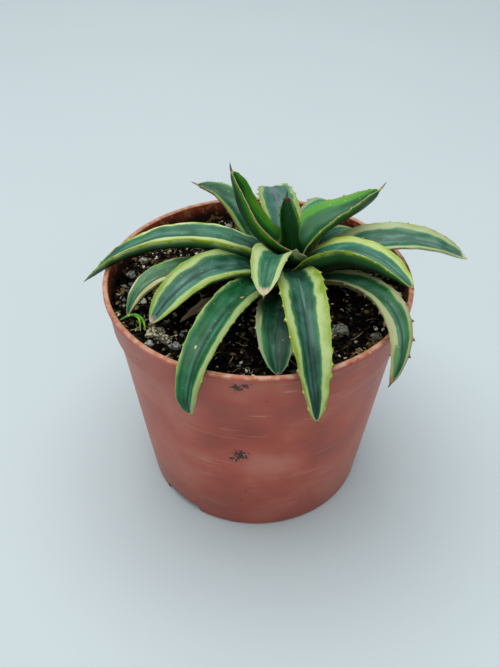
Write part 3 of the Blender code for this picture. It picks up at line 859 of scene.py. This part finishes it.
# Places across the half width of a leaf, for the points of its top and of its underside.
TOP_HALF = (0, 0.03, 0.07, 0.13, 0.21, 0.3, 0.4, 0.5, 0.6, 0.7, 0.79, 0.87, 0.93, 0.97, 1)
UNDER_HALF = (0, 0.2, 0.42, 0.62, 0.76, 0.86, 0.93, 0.975, 1)
STATION_LENGTH = 0.75
FEWEST_STATIONS = 36
TIP_CROWDING = 1.5
BASE_CLASP = 0.55
BASE_CLASP_SHARE = 0.2
BASE_ROOTING = 2.6
EDGE_THICKNESS = 0.2
LEAF_PLUMPNESS = 1.15
KEEL_FALL = 0.2
KEEL_SQUARENESS = 7
PLUMP_TAPER = 5
CREASE_DEPTH = 0.22
CREASE_WIDTH = 0.06
DENT_SIZE = 9
DENT_DEPTH = 0.35
RIPPLE_SIZE = 3.6
LEAF_SHARP_ANGLE = 55
# A tooth's sizes are shares of its own size, apart from the spread of its root and its thickness.
TOOTH_BUMP = 0.28
TOOTH_ROOT = 0.25
TOOTH_LENGTH = 1.15
TOOTH_WIDTH = 0.75
TOOTH_SPREAD = 1.1
TOOTH_THICKNESS = 0.28
TOOTH_LEAN = 0.35
TOOTH_HOOK = 0.35
TOOTH_SIDES = 6
TOOTH_STEPS = 3
TEETH_FROM = 0.24
TEETH_TO = 0.95
SPINE_ROOT = 0.7
SPINE_RADIUS = 0.28
SPINE_GROWTH = 0.08
SPINE_THICKEST = 0.55
SPINE_HOOK = -0.12
SPINE_SIDES = 8
SPINE_STEPS = 5
BASE_SHADE = 0.65
LEAF_FRECKLE = "#b9ab8c"


def ring_walk(mesh):
    """The rings of points along a CAD leaf, from its base to its tip, and the tip, from its joined mesh."""
    merged = bmesh.new()
    merged.from_mesh(mesh)
    bmesh.ops.remove_doubles(merged, verts=merged.verts, dist=1e-6)
    best = []
    for start in merged.verts:
        if len(start.link_edges) != 8:
            continue
        seen = {start}
        layers = [[start]]
        while layers[-1]:
            nearby = {edge.other_vert(v) for v in layers[-1] for edge in v.link_edges} - seen
            seen |= nearby
            layers.append(list(nearby))
        if len(layers) > len(best):
            best = layers
    rings = [np.array([v.co for v in layer]) for layer in reversed(best[1:-1])]
    tip = np.array(best[0][0].co)
    merged.free()
    return rings, tip


def leaf_tracks(mesh):
    """The channel, the two margins and the keel of a CAD leaf, each a line of points, and its tip."""
    rings, tip = ring_walk(mesh)
    middle = len(rings) // 2
    ring = rings[middle]
    apart = np.linalg.norm(ring[:, None] - ring[None], axis=2)
    plus, minus = np.unravel_index(apart.argmax(), apart.shape)
    line = ring[plus] - ring[minus]
    centre = (ring[plus] + ring[minus]) / 2
    offsets = np.abs((ring - centre) @ line)
    inner, outer = sorted(np.argsort(offsets)[:2], key=lambda i: np.linalg.norm(ring[i] - centre))
    along = rings[middle + 1].mean(0) - ring.mean(0)
    if np.dot(np.cross(ring[inner] - ring[outer], along), line) < 0:
        plus, minus = minus, plus

    def centred(points):
        moved = points - points.mean(0)
        return moved / np.sqrt((moved**2).sum(1).mean())

    found = {middle: [inner, plus, minus, outer]}
    for step, order in ((1, range(middle + 1, len(rings))), (-1, range(middle - 1, -1, -1))):
        for index in order:
            before = centred(rings[index - step])[found[index - step]]
            now = centred(rings[index])
            found[index] = [int(np.linalg.norm(now - point, axis=1).argmin()) for point in before]
    tracks = np.array([rings[i][found[i]] for i in range(len(rings))])
    return tracks[:, 0], tracks[:, 1], tracks[:, 2], tracks[:, 3], tip


def between_stations(shares, values, wanted):
    """Values at the wanted shares, on a smooth curve through those at the given shares."""
    slopes = np.gradient(values, shares, axis=0)
    i = np.clip(np.searchsorted(shares, wanted, side="right") - 1, 0, len(shares) - 2)
    span = (shares[i + 1] - shares[i])[:, None]
    t = (wanted - shares[i])[:, None] / span
    smooth = (2 * t**3 - 3 * t**2 + 1) * values[i] + (3 * t**2 - 2 * t**3) * values[i + 1]
    return smooth + span * ((t**3 - 2 * t**2 + t) * slopes[i] + (t**3 - t**2) * slopes[i + 1])


def unit(vectors):
    return vectors / np.linalg.norm(vectors, axis=-1, keepdims=True)


class Blade:
    """The shape of a leaf, read from its CAD node: a middle line with vectors across and down at any share."""

    def __init__(self, mesh):
        channel, plus, minus, keel, tip = leaf_tracks(mesh)
        self.middle = np.vstack([channel, tip])
        gaps = np.linalg.norm(np.diff(self.middle, axis=0), axis=1)
        self.length = gaps.sum() / MM
        self.shares = np.concatenate([[0], np.cumsum(gaps)]) / gaps.sum()
        self.across = (plus - minus) / 2
        self.lift = (plus + minus) / 2 - channel
        self.down = keel - channel

    def at(self, wanted):
        """(middle, across, lift, down) at each wanted share."""
        last = self.shares[-2]
        held = np.clip(wanted, 0, last)
        close = (np.clip(1 - wanted, 0, None) / (1 - last)).clip(0, 1)[:, None]
        narrow = close**0.6
        clasp = 1 + BASE_CLASP * np.clip(1 - wanted / BASE_CLASP_SHARE, 0, 1)[:, None] ** 2
        middle = between_stations(self.shares, self.middle, np.clip(wanted, 0, 1))
        inward = unit(self.middle[0] - self.middle[1]) * (self.length * MM)
        middle = middle + np.clip(-wanted, 0, None)[:, None] * inward
        across = between_stations(self.shares[:-1], self.across, held) * narrow * clasp
        lift = between_stations(self.shares[:-1], self.lift, held) * narrow * clasp
        down = between_stations(self.shares[:-1], self.down, held) * narrow**0.8
        return middle, across, lift, down


def leaf_mesh(blade, teeth, wave, crumple, plump):
    """Builds a leaf's skin: rings of points round the channel, the margins and the keel."""
    count = max(FEWEST_STATIONS, round(blade.length / STATION_LENGTH))
    run = np.arange(count) / count
    rooted = -BASE_ROOTING / blade.length
    shares = rooted + (1 - rooted) * (1 - (1 - run) ** TIP_CROWDING)
    middle, across, lift, down = blade.at(shares)
    top = np.array([-u for u in TOP_HALF[:0:-1]] + list(TOP_HALF))
    under = np.array(list(UNDER_HALF[::-1]) + [-u for u in UNDER_HALF[1:]])
    side = np.concatenate([top, under])
    is_under = np.concatenate([np.zeros(len(top)), np.ones(len(under))])
    along = shares * blade.length
    reach = np.linalg.norm(across, axis=1) / MM
    bulge = np.zeros((count, 2))
    for edge, place, size in teeth:
        column = 0 if edge > 0 else 1
        bump = size * TOOTH_BUMP * np.exp(-(((along - place) / TOOTH_SPREAD) ** 2))
        bulge[:, column] = np.maximum(bulge[:, column], bump)
    normal = -unit(down)
    full = 1 - KEEL_FALL * np.abs(side) - (1 - KEEL_FALL) * np.abs(side) ** KEEL_SQUARENESS
    points = []
    for k in range(count):
        grow = np.where(side > 0, bulge[k, 0], bulge[k, 1]) / max(reach[k], 0.3) * np.abs(side) ** 6
        lifted = np.abs(side) ** 1.5
        ring = middle[k] + np.outer(side * (1 + grow), across[k]) + np.outer(lifted, lift[k])
        grown = max(0, shares[k])
        swollen = 1 + (plump - 1) * (1 - grown**PLUMP_TAPER) * min(1, 0.35 + grown / 0.3)
        depth = swollen * full * (1 - EDGE_THICKNESS) + EDGE_THICKNESS
        ring = ring + np.outer(is_under * depth, down[k])
        near_tip = min(1, max(0, (shares[k] - 0.1) / 0.5)) * min(1, reach[k] / 2)
        crease = CREASE_DEPTH * MM * near_tip * np.exp(-((side / CREASE_WIDTH) ** 2)) * (1 - is_under)
        ring = ring - np.outer(crease, normal[k])
        for point, u in zip(ring, side):
            spot = Vector((along[k] / DENT_SIZE, u * reach[k] / DENT_SIZE * 1.6, crumple))
            dent = DENT_DEPTH * noise.noise(spot) * min(1, reach[k] / 3)
            ripple = wave * abs(u) ** 3 * noise.noise(Vector((along[k] / RIPPLE_SIZE, 5 * (u > 0), crumple)))
            points.append(point + normal[k] * (dent + ripple) * MM)
    around = len(side)
    faces = tube_faces(0, count - 1, around)
    edge_strips = (len(top) - 1, around - 1)
    kinds = [2 if i in edge_strips else int(i >= len(top)) for i in range(around)] * (count - 1)
    end = len(points)
    points.append(blade.middle[-1])
    last = (count - 1) * around
    for i in range(around):
        faces.append([last + i, last + (i + 1) % around, end])
        kinds.append(int(i >= len(top) - 1))
    faces.append(list(reversed(range(around))))
    kinds.append(1)
    values = {
        "across": list(np.tile(side, count)) + [0.0],
        "along": list(np.repeat(along, around)) + [blade.length],
        "share": list(np.repeat(shares, around)) + [1.0],
        "horn": [0.0] * (count * around + 1),
    }
    return points, faces, kinds, values


def add_spike(parts, root, heading, sideways, length, widths, sides, steps, bend):
    """Adds a closed tapering spike to a leaf: a tooth or the spine at its tip."""
    points, faces, kinds, values = parts
    first = len(points)
    heading = unit(heading)
    sideways = unit(sideways - heading * np.dot(sideways, heading))
    over = np.cross(heading, sideways)
    for step in range(steps):
        share = step / steps
        taper = (1 - share) ** 0.8
        middle = root + (heading * share * length + sideways * bend * length * share**2) * MM
        for i in range(sides):
            angle = math.tau * i / sides
            spread = sideways * math.cos(angle) * widths[0] + over * math.sin(angle) * widths[1]
            points.append(middle + spread * taper * MM)
            values["horn"].append(0.15 + 0.85 * share)
    points.append(root + (heading + sideways * bend) * length * MM)
    values["horn"].append(1.0)
    for key, value in (("across", 1.0), ("along", 0.0), ("share", 0.5)):
        values[key] += [value] * (steps * sides + 1)
    faces += tube_faces(first, steps - 1, sides)
    last = first + (steps - 1) * sides
    for i in range(sides):
        faces.append([last + i, last + (i + 1) % sides, first + steps * sides])
    faces.append([first + i for i in reversed(range(sides))])
    kinds += [2] * (steps * sides + 1)


def overlaid(tree, pattern, *others):
    """A pattern with others added to it, each given as (weight, pattern)."""
    for weight, other in others:
        pattern = add_node(tree, "Math", {0: other, 1: weight, 2: pattern}, operation="MULTIPLY_ADD")
    return pattern


def leaf_skin(name, look, upper, seed):
    """Agave leaf skin: a tough waxy cuticle, satin, striped along its length, with a dusty bloom on green."""
    material, tree, shader = new_material(name)
    across, along, share = (
        add_node(tree, "Attribute", output="Fac", attribute_name=key) for key in ("across", "along", "share")
    )
    place = add_node(tree, "CombineXYZ", {0: across, 1: along, 2: seed})

    def streaks(wide, long, detail=3):
        """Noise drawn out along the leaf, from -0.5 to 0.5: wide as a share of the half width, long in mm."""
        drawn = add_node(tree, "Mapping", {"Vector": place, "Scale": (1 / wide, 1 / long, 1)})
        found = add_node(tree, "TexNoise", {"Vector": drawn, "Scale": 1, "Detail": detail})
        return add_node(tree, "Math", {0: found, 1: 0.5}, operation="SUBTRACT")

    # The patterns that break up every stripe, from the broadest to the finest.
    cloud = streaks(0.7, 7, 4)
    broad = streaks(0.35, 30)
    ragged = streaks(0.2, 5)
    fine = streaks(0.05, 22)
    off_middle = add_node(tree, "Math", {0: across}, operation="ABSOLUTE")

    # The green, with its grey bloom in the channel; the underside's greens are painted near black, as the shade
    # under the leaf.
    deep, bloom = (look["centre"], look["bloom"]) if upper else (look["under"], look["under_light"])
    colour = painted(tree, deep, bloom, (overlaid(tree, broad, (0.16, fine), (0.8, cloud)), -0.14, 0.24))
    if upper:
        colour = painted(tree, colour, look["band"], 0.6, (off_middle, 0.4, 0.12), (cloud, -0.16, 0.2))

    # The two margins, each with a paler green halo inside it and green veins in it.
    wander = ((0.5, streaks(1.2, 11)), (0.2, ragged)) if upper else ((0.024, ragged),)
    wide = overlaid(tree, across, *wander)
    for sign, width in ((1, look["plus"]), (-1, look["minus"])):
        width *= 1 if upper else look["under_margin"]
        start = 1 - width
        reach = add_node(tree, "Math", {0: wide, 1: sign}, operation="MULTIPLY")
        colour = painted(tree, colour, look["halo"], 0.55, (reach, start - 0.2, start + 0.02))
        outward = (overlaid(tree, reach, (0.7, cloud)), start + 0.35 * width, 1.0)
        margin = painted(tree, look["inner"], look["outer"], outward)
        margin = painted(tree, margin, look["halo"], 0.5, (overlaid(tree, fine, (0.5, cloud)), 0.1, 0.3))
        colour = painted(tree, colour, margin, (reach, start - 0.03, start + 0.08))

    # Painted shade along the crease and between the bases, the horny edge and the freckles.
    if upper:
        drift = overlaid(tree, across, (0.05, streaks(0.6, 20)))
        line = add_node(tree, "Math", {0: drift}, operation="ABSOLUTE")
        colour = painted(tree, colour, look["crease"], 0.85, (line, 0.17, 0.01), (share, 0.2, 0.6))
    colour = painted(tree, colour, look["under"], BASE_SHADE, (share, 0.26, 0.02))
    patchy = (streaks(0.5, 3, 2), -0.08, 0.2)
    colour = painted(tree, colour, look["horn"], 0.75, (off_middle, 0.955, 0.99), patchy)
    drawn = add_node(tree, "Mapping", {"Vector": place, "Scale": (3.6, 0.55, 1)})
    freckles = add_node(tree, "TexVoronoi", {"Vector": drawn, "Scale": 0.6})
    colour = painted(tree, colour, LEAF_FRECKLE, 0.5, (freckles, 0.1, 0.05))

    # Scars, scrapes and a withered tip.
    flat = add_node(tree, "CombineXYZ", {0: across, 1: share})
    for at_share, at_across, half_long, half_wide, tint in look["patches"] if upper else ():
        spot = {"Vector": flat, "Location": (at_across, at_share, 0), "Scale": (half_wide, half_long, 1)}
        sized = add_node(tree, "Mapping", spot, vector_type="TEXTURE")
        away = add_node(tree, "VectorMath", {0: sized, 1: sized}, operation="DOT_PRODUCT")
        colour = painted(tree, colour, tint, 0.85, (overlaid(tree, away, (2.4, cloud)), 1.0, 0.3))
    dry = look["dry"]
    rot = overlaid(tree, share, (0.05, ragged), (0.06, broad))
    colour = painted(tree, colour, look["withered"], (rot, 1 - dry, 1 - dry * 0.45))

    dull = add_node(tree, "MapRange", {0: broad, 1: -0.3, 2: 0.3, 3: 0.38, 4: 0.52})
    bump = add_node(tree, "Bump", {"Height": streaks(0.035, 18, 2), "Strength": 0.16, "Distance": 0.12 * MM})
    fill(tree, shader, {"Base Color": colour, "Roughness": dull, "Normal": bump, "Specular IOR Level": 0.28})
    return material


def horn_skin(name, pale, dark):
    """Leaf horn: hard, dry and smooth, cream where it leaves the margin and brown at the point."""
    material, tree, shader = new_material(name)
    point = add_node(tree, "Attribute", output="Fac", attribute_name="horn")
    place = add_node(tree, "TexCoord", output="Object")
    mottle = add_node(tree, "TexNoise", {"Vector": place, "Scale": 1 / (2.2 * MM), "Detail": 3})
    worn = add_node(tree, "Math", {0: mottle, 1: 0.45}, operation="SUBTRACT")
    both = add_node(tree, "Math", {0: point, 1: worn}, operation="ADD")
    colour = add_node(tree, "ValToRGB", {0: both}, stops=((0.05, pale), (0.3, pale), (0.75, dark)))
    rings = add_node(tree, "TexNoise", {"Vector": place, "Scale": 1 / (0.5 * MM)})
    bump = add_node(tree, "Bump", {"Height": rings, "Strength": 0.3, "Distance": 0.1 * MM})
    fill(tree, shader, {"Base Color": colour, "Roughness": 0.5, "Normal": bump})
    return material


# What a leaf has unless its own look says otherwise. The margins' widths, plus and minus, are shares of the
# half width. A tooth, the gap between two and the spine are lengths, and dry is the share that has withered.
# A patch is (share of the length, place across, half its length as a share, half its width, colour).
# Crease is the colour of the painted shade along the channel's crease.
# Under and under_light are the underside's greens, painted dark as the shade beneath the leaves.
USUAL_LOOK = dict(
    centre="#12492d", bloom="#387557", band="#548b72", halo="#46884a", inner="#acba77", outer="#8ca234",
    plus=0.34, minus=0.34, crease="#33453f", under="#06280c", under_light="#0d3d16", under_margin=0.4,
    horn="#b59a62", point="#3a2415", tooth=0.75, tooth_gap=5.2, spine=0.8, dry=0.015, withered="#8a7452",
    wave=0.35, plump=LEAF_PLUMPNESS,
    patches=(),
)
LEAF_LOOKS = {
    "leaf_left_low": dict(
        centre="#2d5a35", bloom="#5c8560", band="#6c9470", inner="#c6c09c", plus=0.8, minus=0.06,
        under="#0a2c10", under_light="#143f18", under_margin=0.09, tooth=0.4, spine=0.5, plump=2.0,
        patches=(
            (0.62, 0.5, 0.08, 0.4, "#d3d5cc"),
            (0.42, 0.9, 0.16, 0.2, "#a58e62"),
            (0.8, 0.5, 0.08, 0.4, "#b3a878"),
        ),
    ),
    "leaf_right_drooping": dict(
        centre="#134a24", bloom="#2f6440", band="#4c7560", inner="#9a9c72", outer="#868e54", plus=0.3,
        minus=0.62, horn="#6e5230", tooth=0.9, spine=1.2, dry=0.04, withered="#7d6a45",
        patches=(
            (0.2, -0.7, 0.05, 0.3, "#c0b48e"),
            (0.5, -1.05, 0.24, 0.24, "#1f4426"),
            (0.9, -0.5, 0.08, 0.3, "#3f6a34"),
        ),
    ),
    "leaf_front_low": dict(
        centre="#0c3a22", bloom="#275a3c", inner="#7d976d", outer="#909979", plus=0.1, minus=0.22,
        tooth=0.9,
        patches=(
            (0.62, -0.8, 0.1, 0.08, "#a79c70"),
            (0.3, -0.95, 0.14, 0.1, "#9a8a5c"),
        ),
    ),
    "leaf_back_right_low": dict(),
    "leaf_back_left_low": dict(),
    "leaf_right_small": dict(
        centre="#246442", bloom="#4e8f69", inner="#8fa172", outer="#7e914f",
    ),
    "leaf_front_left": dict(
        centre="#06421a", bloom="#1f633c", band="#47806a", inner="#95a66d", outer="#7b9943", plus=0.5,
        minus=0.09, crease="#10301f", under_margin=0.09, horn="#a8b648", tooth=0.55, spine=0.5, plump=1.5,
        patches=(
            (0.35, 0.15, 0.012, 0.1, "#b79a6c"),
            (0.7, -0.35, 0.012, 0.08, "#c7b184"),
        ),
    ),
    "leaf_right_long": dict(
        centre="#2a5a44", bloom="#557f68", band="#6a8c7e", inner="#a9b386", outer="#9aa668", plus=0.4,
        minus=0.42, crease="#4c5d57", horn="#b3ad74", tooth=0.45, dry=0.05, withered="#c9c59c",
    ),
    "leaf_left_mid": dict(
        centre="#174634", bloom="#42725f", band="#668f80", inner="#a3b472", outer="#7a9734", plus=0.48,
        minus=0.36, crease="#1c3b33", under="#051c08", under_light="#0b2e10", under_margin=0.09,
        horn="#b5b45c", tooth=0.45, dry=0.03, withered="#b5a58e", plump=2.2,
        patches=((0.98, 0.0, 0.035, 0.9, "#847c70"),),
    ),
    "leaf_back_right": dict(
        centre="#29744c", bloom="#4e936c", band="#5d9579", inner="#94a77b", outer="#7e9160", plus=0.2,
    ),
    "leaf_back_left": dict(
        centre="#0e4220", bloom="#2e6e46", inner="#8ca656", outer="#779432", plus=0.4, minus=0.1, spine=2.6,
    ),
    "leaf_right_arched": dict(
        centre="#21604a", bloom="#4c8069", band="#5f8c78", inner="#abba71", outer="#93a83c", plus=0.46,
        minus=0.24, under="#031a07", under_light="#08280e", under_margin=0.09, horn="#a8c23a", tooth=0.6,
        dry=0.03, plump=4.4,
        patches=(
            (0.36, -0.95, 0.025, 0.12, "#17110c"),
            (0.6, -0.8, 0.1, 0.2, "#c8c38e"),
        ),
    ),
    "leaf_front_broad": dict(
        centre="#083424", bloom="#225742", band="#466f60", inner="#a2b472", outer="#7b9428", plus=0.46,
        minus=0.42, crease="#16302a", horn="#b7b23c", tooth=0.95, tooth_gap=4.2, spine=0.6, wave=0.45,
        patches=((0.4, 0.04, 0.16, 0.07, "#4c7565"),),
    ),
    "leaf_left_long": dict(
        centre="#1c523a", bloom="#46785f", band="#588e74", inner="#c0cb90", outer="#91a629", plus=0.66,
        minus=0.14, under="#051c08", under_light="#0b2e10", under_margin=0.09, horn="#a8c23a", tooth=0.4,
        spine=1.6, plump=2.9,
        patches=(
            (0.88, 0.9, 0.03, 0.3, "#5a4526"),
            (0.8, -0.9, 0.04, 0.2, "#5a4526"),
        ),
    ),
    "leaf_back_centre": dict(
        centre="#2d5a4b", bloom="#537a6c", band="#578075", inner="#93a668", outer="#7e9644", minus=0.16,
        crease="#6a6478",
        patches=((0.9, -0.8, 0.12, 0.3, "#cdd3a4"),),
    ),
    "leaf_front_short": dict(
        centre="#235c40", bloom="#5b8a6c", band="#4f846a", inner="#b3c288", outer="#98ad5a", plus=0.46,
        minus=0.46, crease="#1f5a3a", horn="#c4c09a", tooth=0.5, spine=1.8, dry=0.09, withered="#c2b493",
    ),
    "leaf_upper_right": dict(
        centre="#0a4a1c", bloom="#21633a", band="#3f7350", halo="#2f7a1a", inner="#3f8a1a", outer="#5a8f20",
        minus=0.16, crease="#16401f", under_light="#174a22", horn="#c3b27a", tooth=0.7, tooth_gap=4.6,
        spine=3.6, plump=1.7,
    ),
    "leaf_upper_left": dict(
        centre="#02300a", bloom="#07420f", band="#0b4c18", halo="#1e6a0e", inner="#2f7a10", outer="#55881c",
        plus=0.26, minus=0.4, crease="#03300c", under="#03360c", under_light="#094a14", under_margin=0.6,
        horn="#c0a874", tooth=0.3, spine=3.4,
    ),
    "leaf_spear": dict(
        centre="#032b08", bloom="#07380d", band="#083f0e", halo="#1e6a0c", inner="#5c8f22", outer="#86983a",
        plus=0.15, minus=0.15, crease="#042c08", under="#042e09", under_light="#073f10", under_margin=0.8,
        horn="#7a5228", point="#2a140a", tooth=0.5, tooth_gap=3.4, spine=2.4, dry=0.08, withered="#3f2412",
    ),
}


def tooth_places(blade, look, dice):
    """(edge, distance along in mm, size in mm) of each tooth on both margins."""
    found = []
    for edge in (1, -1):
        place = blade.length * TEETH_FROM + dice.random() * look["tooth_gap"]
        while place < blade.length * TEETH_TO:
            found.append((edge, place, look["tooth"] * dice.uniform(0.6, 1.25)))
            place += look["tooth_gap"] * dice.uniform(0.75, 1.3)
    return found


def mesh_object(name, parts):
    """One object from points, faces, a material number for each face, and named values for each point."""
    points, faces, kinds, values = parts
    mesh = bpy.data.meshes.new(name)
    mesh.from_pydata([tuple(p) for p in points], [], faces)
    mesh.polygons.foreach_set("material_index", kinds)
    for key, numbers in values.items():
        attribute = mesh.attributes.new(key, "FLOAT", "POINT")
        attribute.data.foreach_set("value", np.array(numbers, np.float32))
    mesh.update()
    mesh.shade_smooth()
    mesh.set_sharp_from_angle(angle=math.radians(LEAF_SHARP_ANGLE))
    return new_object(name, mesh)


for number, (node, changes) in enumerate(LEAF_LOOKS.items()):
    look = {**USUAL_LOOK, **changes}
    dice = random.Random(number + 5)
    blade = Blade(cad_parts[node].data)
    teeth = tooth_places(blade, look, dice)
    parts = leaf_mesh(blade, teeth, look["wave"], number * 3.7, look["plump"])
    for edge, place, size in teeth:
        shares = np.array([place / blade.length, place / blade.length + 0.01])
        middle, across, lift, down = blade.at(shares)
        margin = middle + edge * across + lift
        forward = unit(margin[1] - margin[0])
        outward = unit(edge * across[0])
        root = margin[0] + down[0] * EDGE_THICKNESS / 2 + outward * (TOOTH_BUMP - TOOTH_ROOT) * size * MM
        heading = outward + TOOTH_LEAN * forward
        shape = (size * TOOTH_LENGTH, (size * TOOTH_WIDTH, TOOTH_THICKNESS), TOOTH_SIDES, TOOTH_STEPS, TOOTH_HOOK)
        add_spike(parts, root, heading, forward, *shape)
    middle, across, lift, down = blade.at(np.array([0.96, 0.985]))
    forward = unit(blade.middle[-1] - middle[0])
    thick = min(SPINE_THICKEST, SPINE_RADIUS + SPINE_GROWTH * look["spine"])
    root = blade.middle[-1] - forward * SPINE_ROOT * MM
    shape = (look["spine"] + SPINE_ROOT, (thick, thick), SPINE_SIDES, SPINE_STEPS, SPINE_HOOK)
    add_spike(parts, root, forward, down[0], *shape)
    leaf = mesh_object(node.replace("leaf", "blade"), parts)
    leaf.data.materials.append(leaf_skin(node + "_upper_skin", look, True, number * 11.3))
    leaf.data.materials.append(leaf_skin(node + "_under_skin", look, False, number * 11.3 + 50))
    leaf.data.materials.append(horn_skin(node + "_horn", look["horn"], look["point"]))
    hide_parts(node)
    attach(leaf, "root")

# ---- Dry leaf ----------------------------------------------------------------------------------------------
# An old lower leaf that died and dried on the soil: thin, brown and papery, curled along its length.

DRY_WAVE = 1.1
DRY_CRUMPLE = 77
DRY_THREADS = ((0.3, "#4a3c2a"), (0.5, "#8a7453"), (0.7, "#bba883"))

blade = Blade(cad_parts["leaf_dry"].data)
dry_leaf = mesh_object("withered_leaf", leaf_mesh(blade, [], DRY_WAVE, DRY_CRUMPLE, LEAF_PLUMPNESS))
# Dead leaf: dry fibre, matt and brittle, grey-brown with paler lengthwise threads.
material, tree, shader = new_material("papery_dead_leaf")
across, along = (add_node(tree, "Attribute", output="Fac", attribute_name=key) for key in ("across", "along"))
place = add_node(tree, "CombineXYZ", {0: across, 1: along})
drawn = add_node(tree, "Mapping", {"Vector": place, "Scale": (14, 0.12, 1)})
threads = add_node(tree, "TexNoise", {"Vector": drawn, "Scale": 1, "Detail": 4})
colour = add_node(tree, "ValToRGB", {0: threads}, stops=DRY_THREADS)
bump = add_node(tree, "Bump", {"Height": threads, "Strength": 0.8, "Distance": 0.2 * MM})
fill(tree, shader, {"Base Color": colour, "Roughness": 0.75, "Normal": bump})
dry_leaf.data.materials.append(material)
dry_leaf.data.polygons.foreach_set("material_index", [0] * len(dry_leaf.data.polygons))
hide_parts("leaf_dry")
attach(dry_leaf, "root")

# ---- Weed sprout -------------------------------------------------------------------------------------------
# A weed seedling at the left rim: two soft glossy strands that came up through the peat and hook over to the
# wall.

SPROUT_STRANDS = (
    # each point: shares of the CAD sprout's box in x, y and z, and the strand's radius
    (
        (0.97, 0.1, 0.0, 0.18),
        (0.95, 0.3, 0.35, 0.34),
        (0.9, 0.55, 0.72, 0.42),
        (0.72, 0.8, 0.9, 0.46),
        (0.5, 0.9, 0.92, 0.48),
        (0.28, 0.8, 0.8, 0.42),
        (0.06, 0.55, 0.62, 0.3),
    ),
    (
        (0.8, 0.0, 0.02, 0.15),
        (0.78, 0.22, 0.35, 0.3),
        (0.8, 0.5, 0.68, 0.38),
        (0.66, 0.78, 0.84, 0.34),
        (0.46, 0.88, 0.86, 0.2),
    ),
)
SEEDLING_GREENS = ((0.34, "#1c7010"), (0.5, "#58ad18"), (0.62, "#a9c628"), (0.74, "#b8862c"))

low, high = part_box("weed_sprout")
curve = bpy.data.curves.new("seedling", "CURVE")
curve.dimensions = "3D"
curve.bevel_depth = MM
curve.bevel_resolution = 4
curve.use_fill_caps = True
curve.resolution_u = 10
for strand in SPROUT_STRANDS:
    spline = curve.splines.new("NURBS")
    spline.points.add(len(strand) - 1)
    for point, (*shares, thickness) in zip(spline.points, strand):
        spot = [low[i] + shares[i] * (high[i] - low[i]) for i in range(3)]
        point.co = (*spot, 1)
        point.radius = thickness
    spline.order_u = 4
    spline.use_endpoint_u = True
seedling = new_object("seedling", curve)
deselect()
seedling.select_set(True)
bpy.context.view_layer.objects.active = seedling
bpy.ops.object.convert(target="MESH")
seedling = bpy.context.object
seedling.data.shade_smooth()
# A seedling's skin: wet-looking, bright yellow-green, turning orange in places.
material, tree, shader = new_material("seedling_skin")
place = add_node(tree, "TexCoord", output="Object")
mottle = add_node(tree, "TexNoise", {"Vector": place, "Scale": 1 / (2.4 * MM), "Detail": 2})
colour = add_node(tree, "ValToRGB", {0: mottle}, stops=SEEDLING_GREENS)
fill(tree, shader, {"Base Color": colour, "Roughness": 0.3})
seedling.data.materials.append(material)
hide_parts("weed_sprout")
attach(seedling, "root")
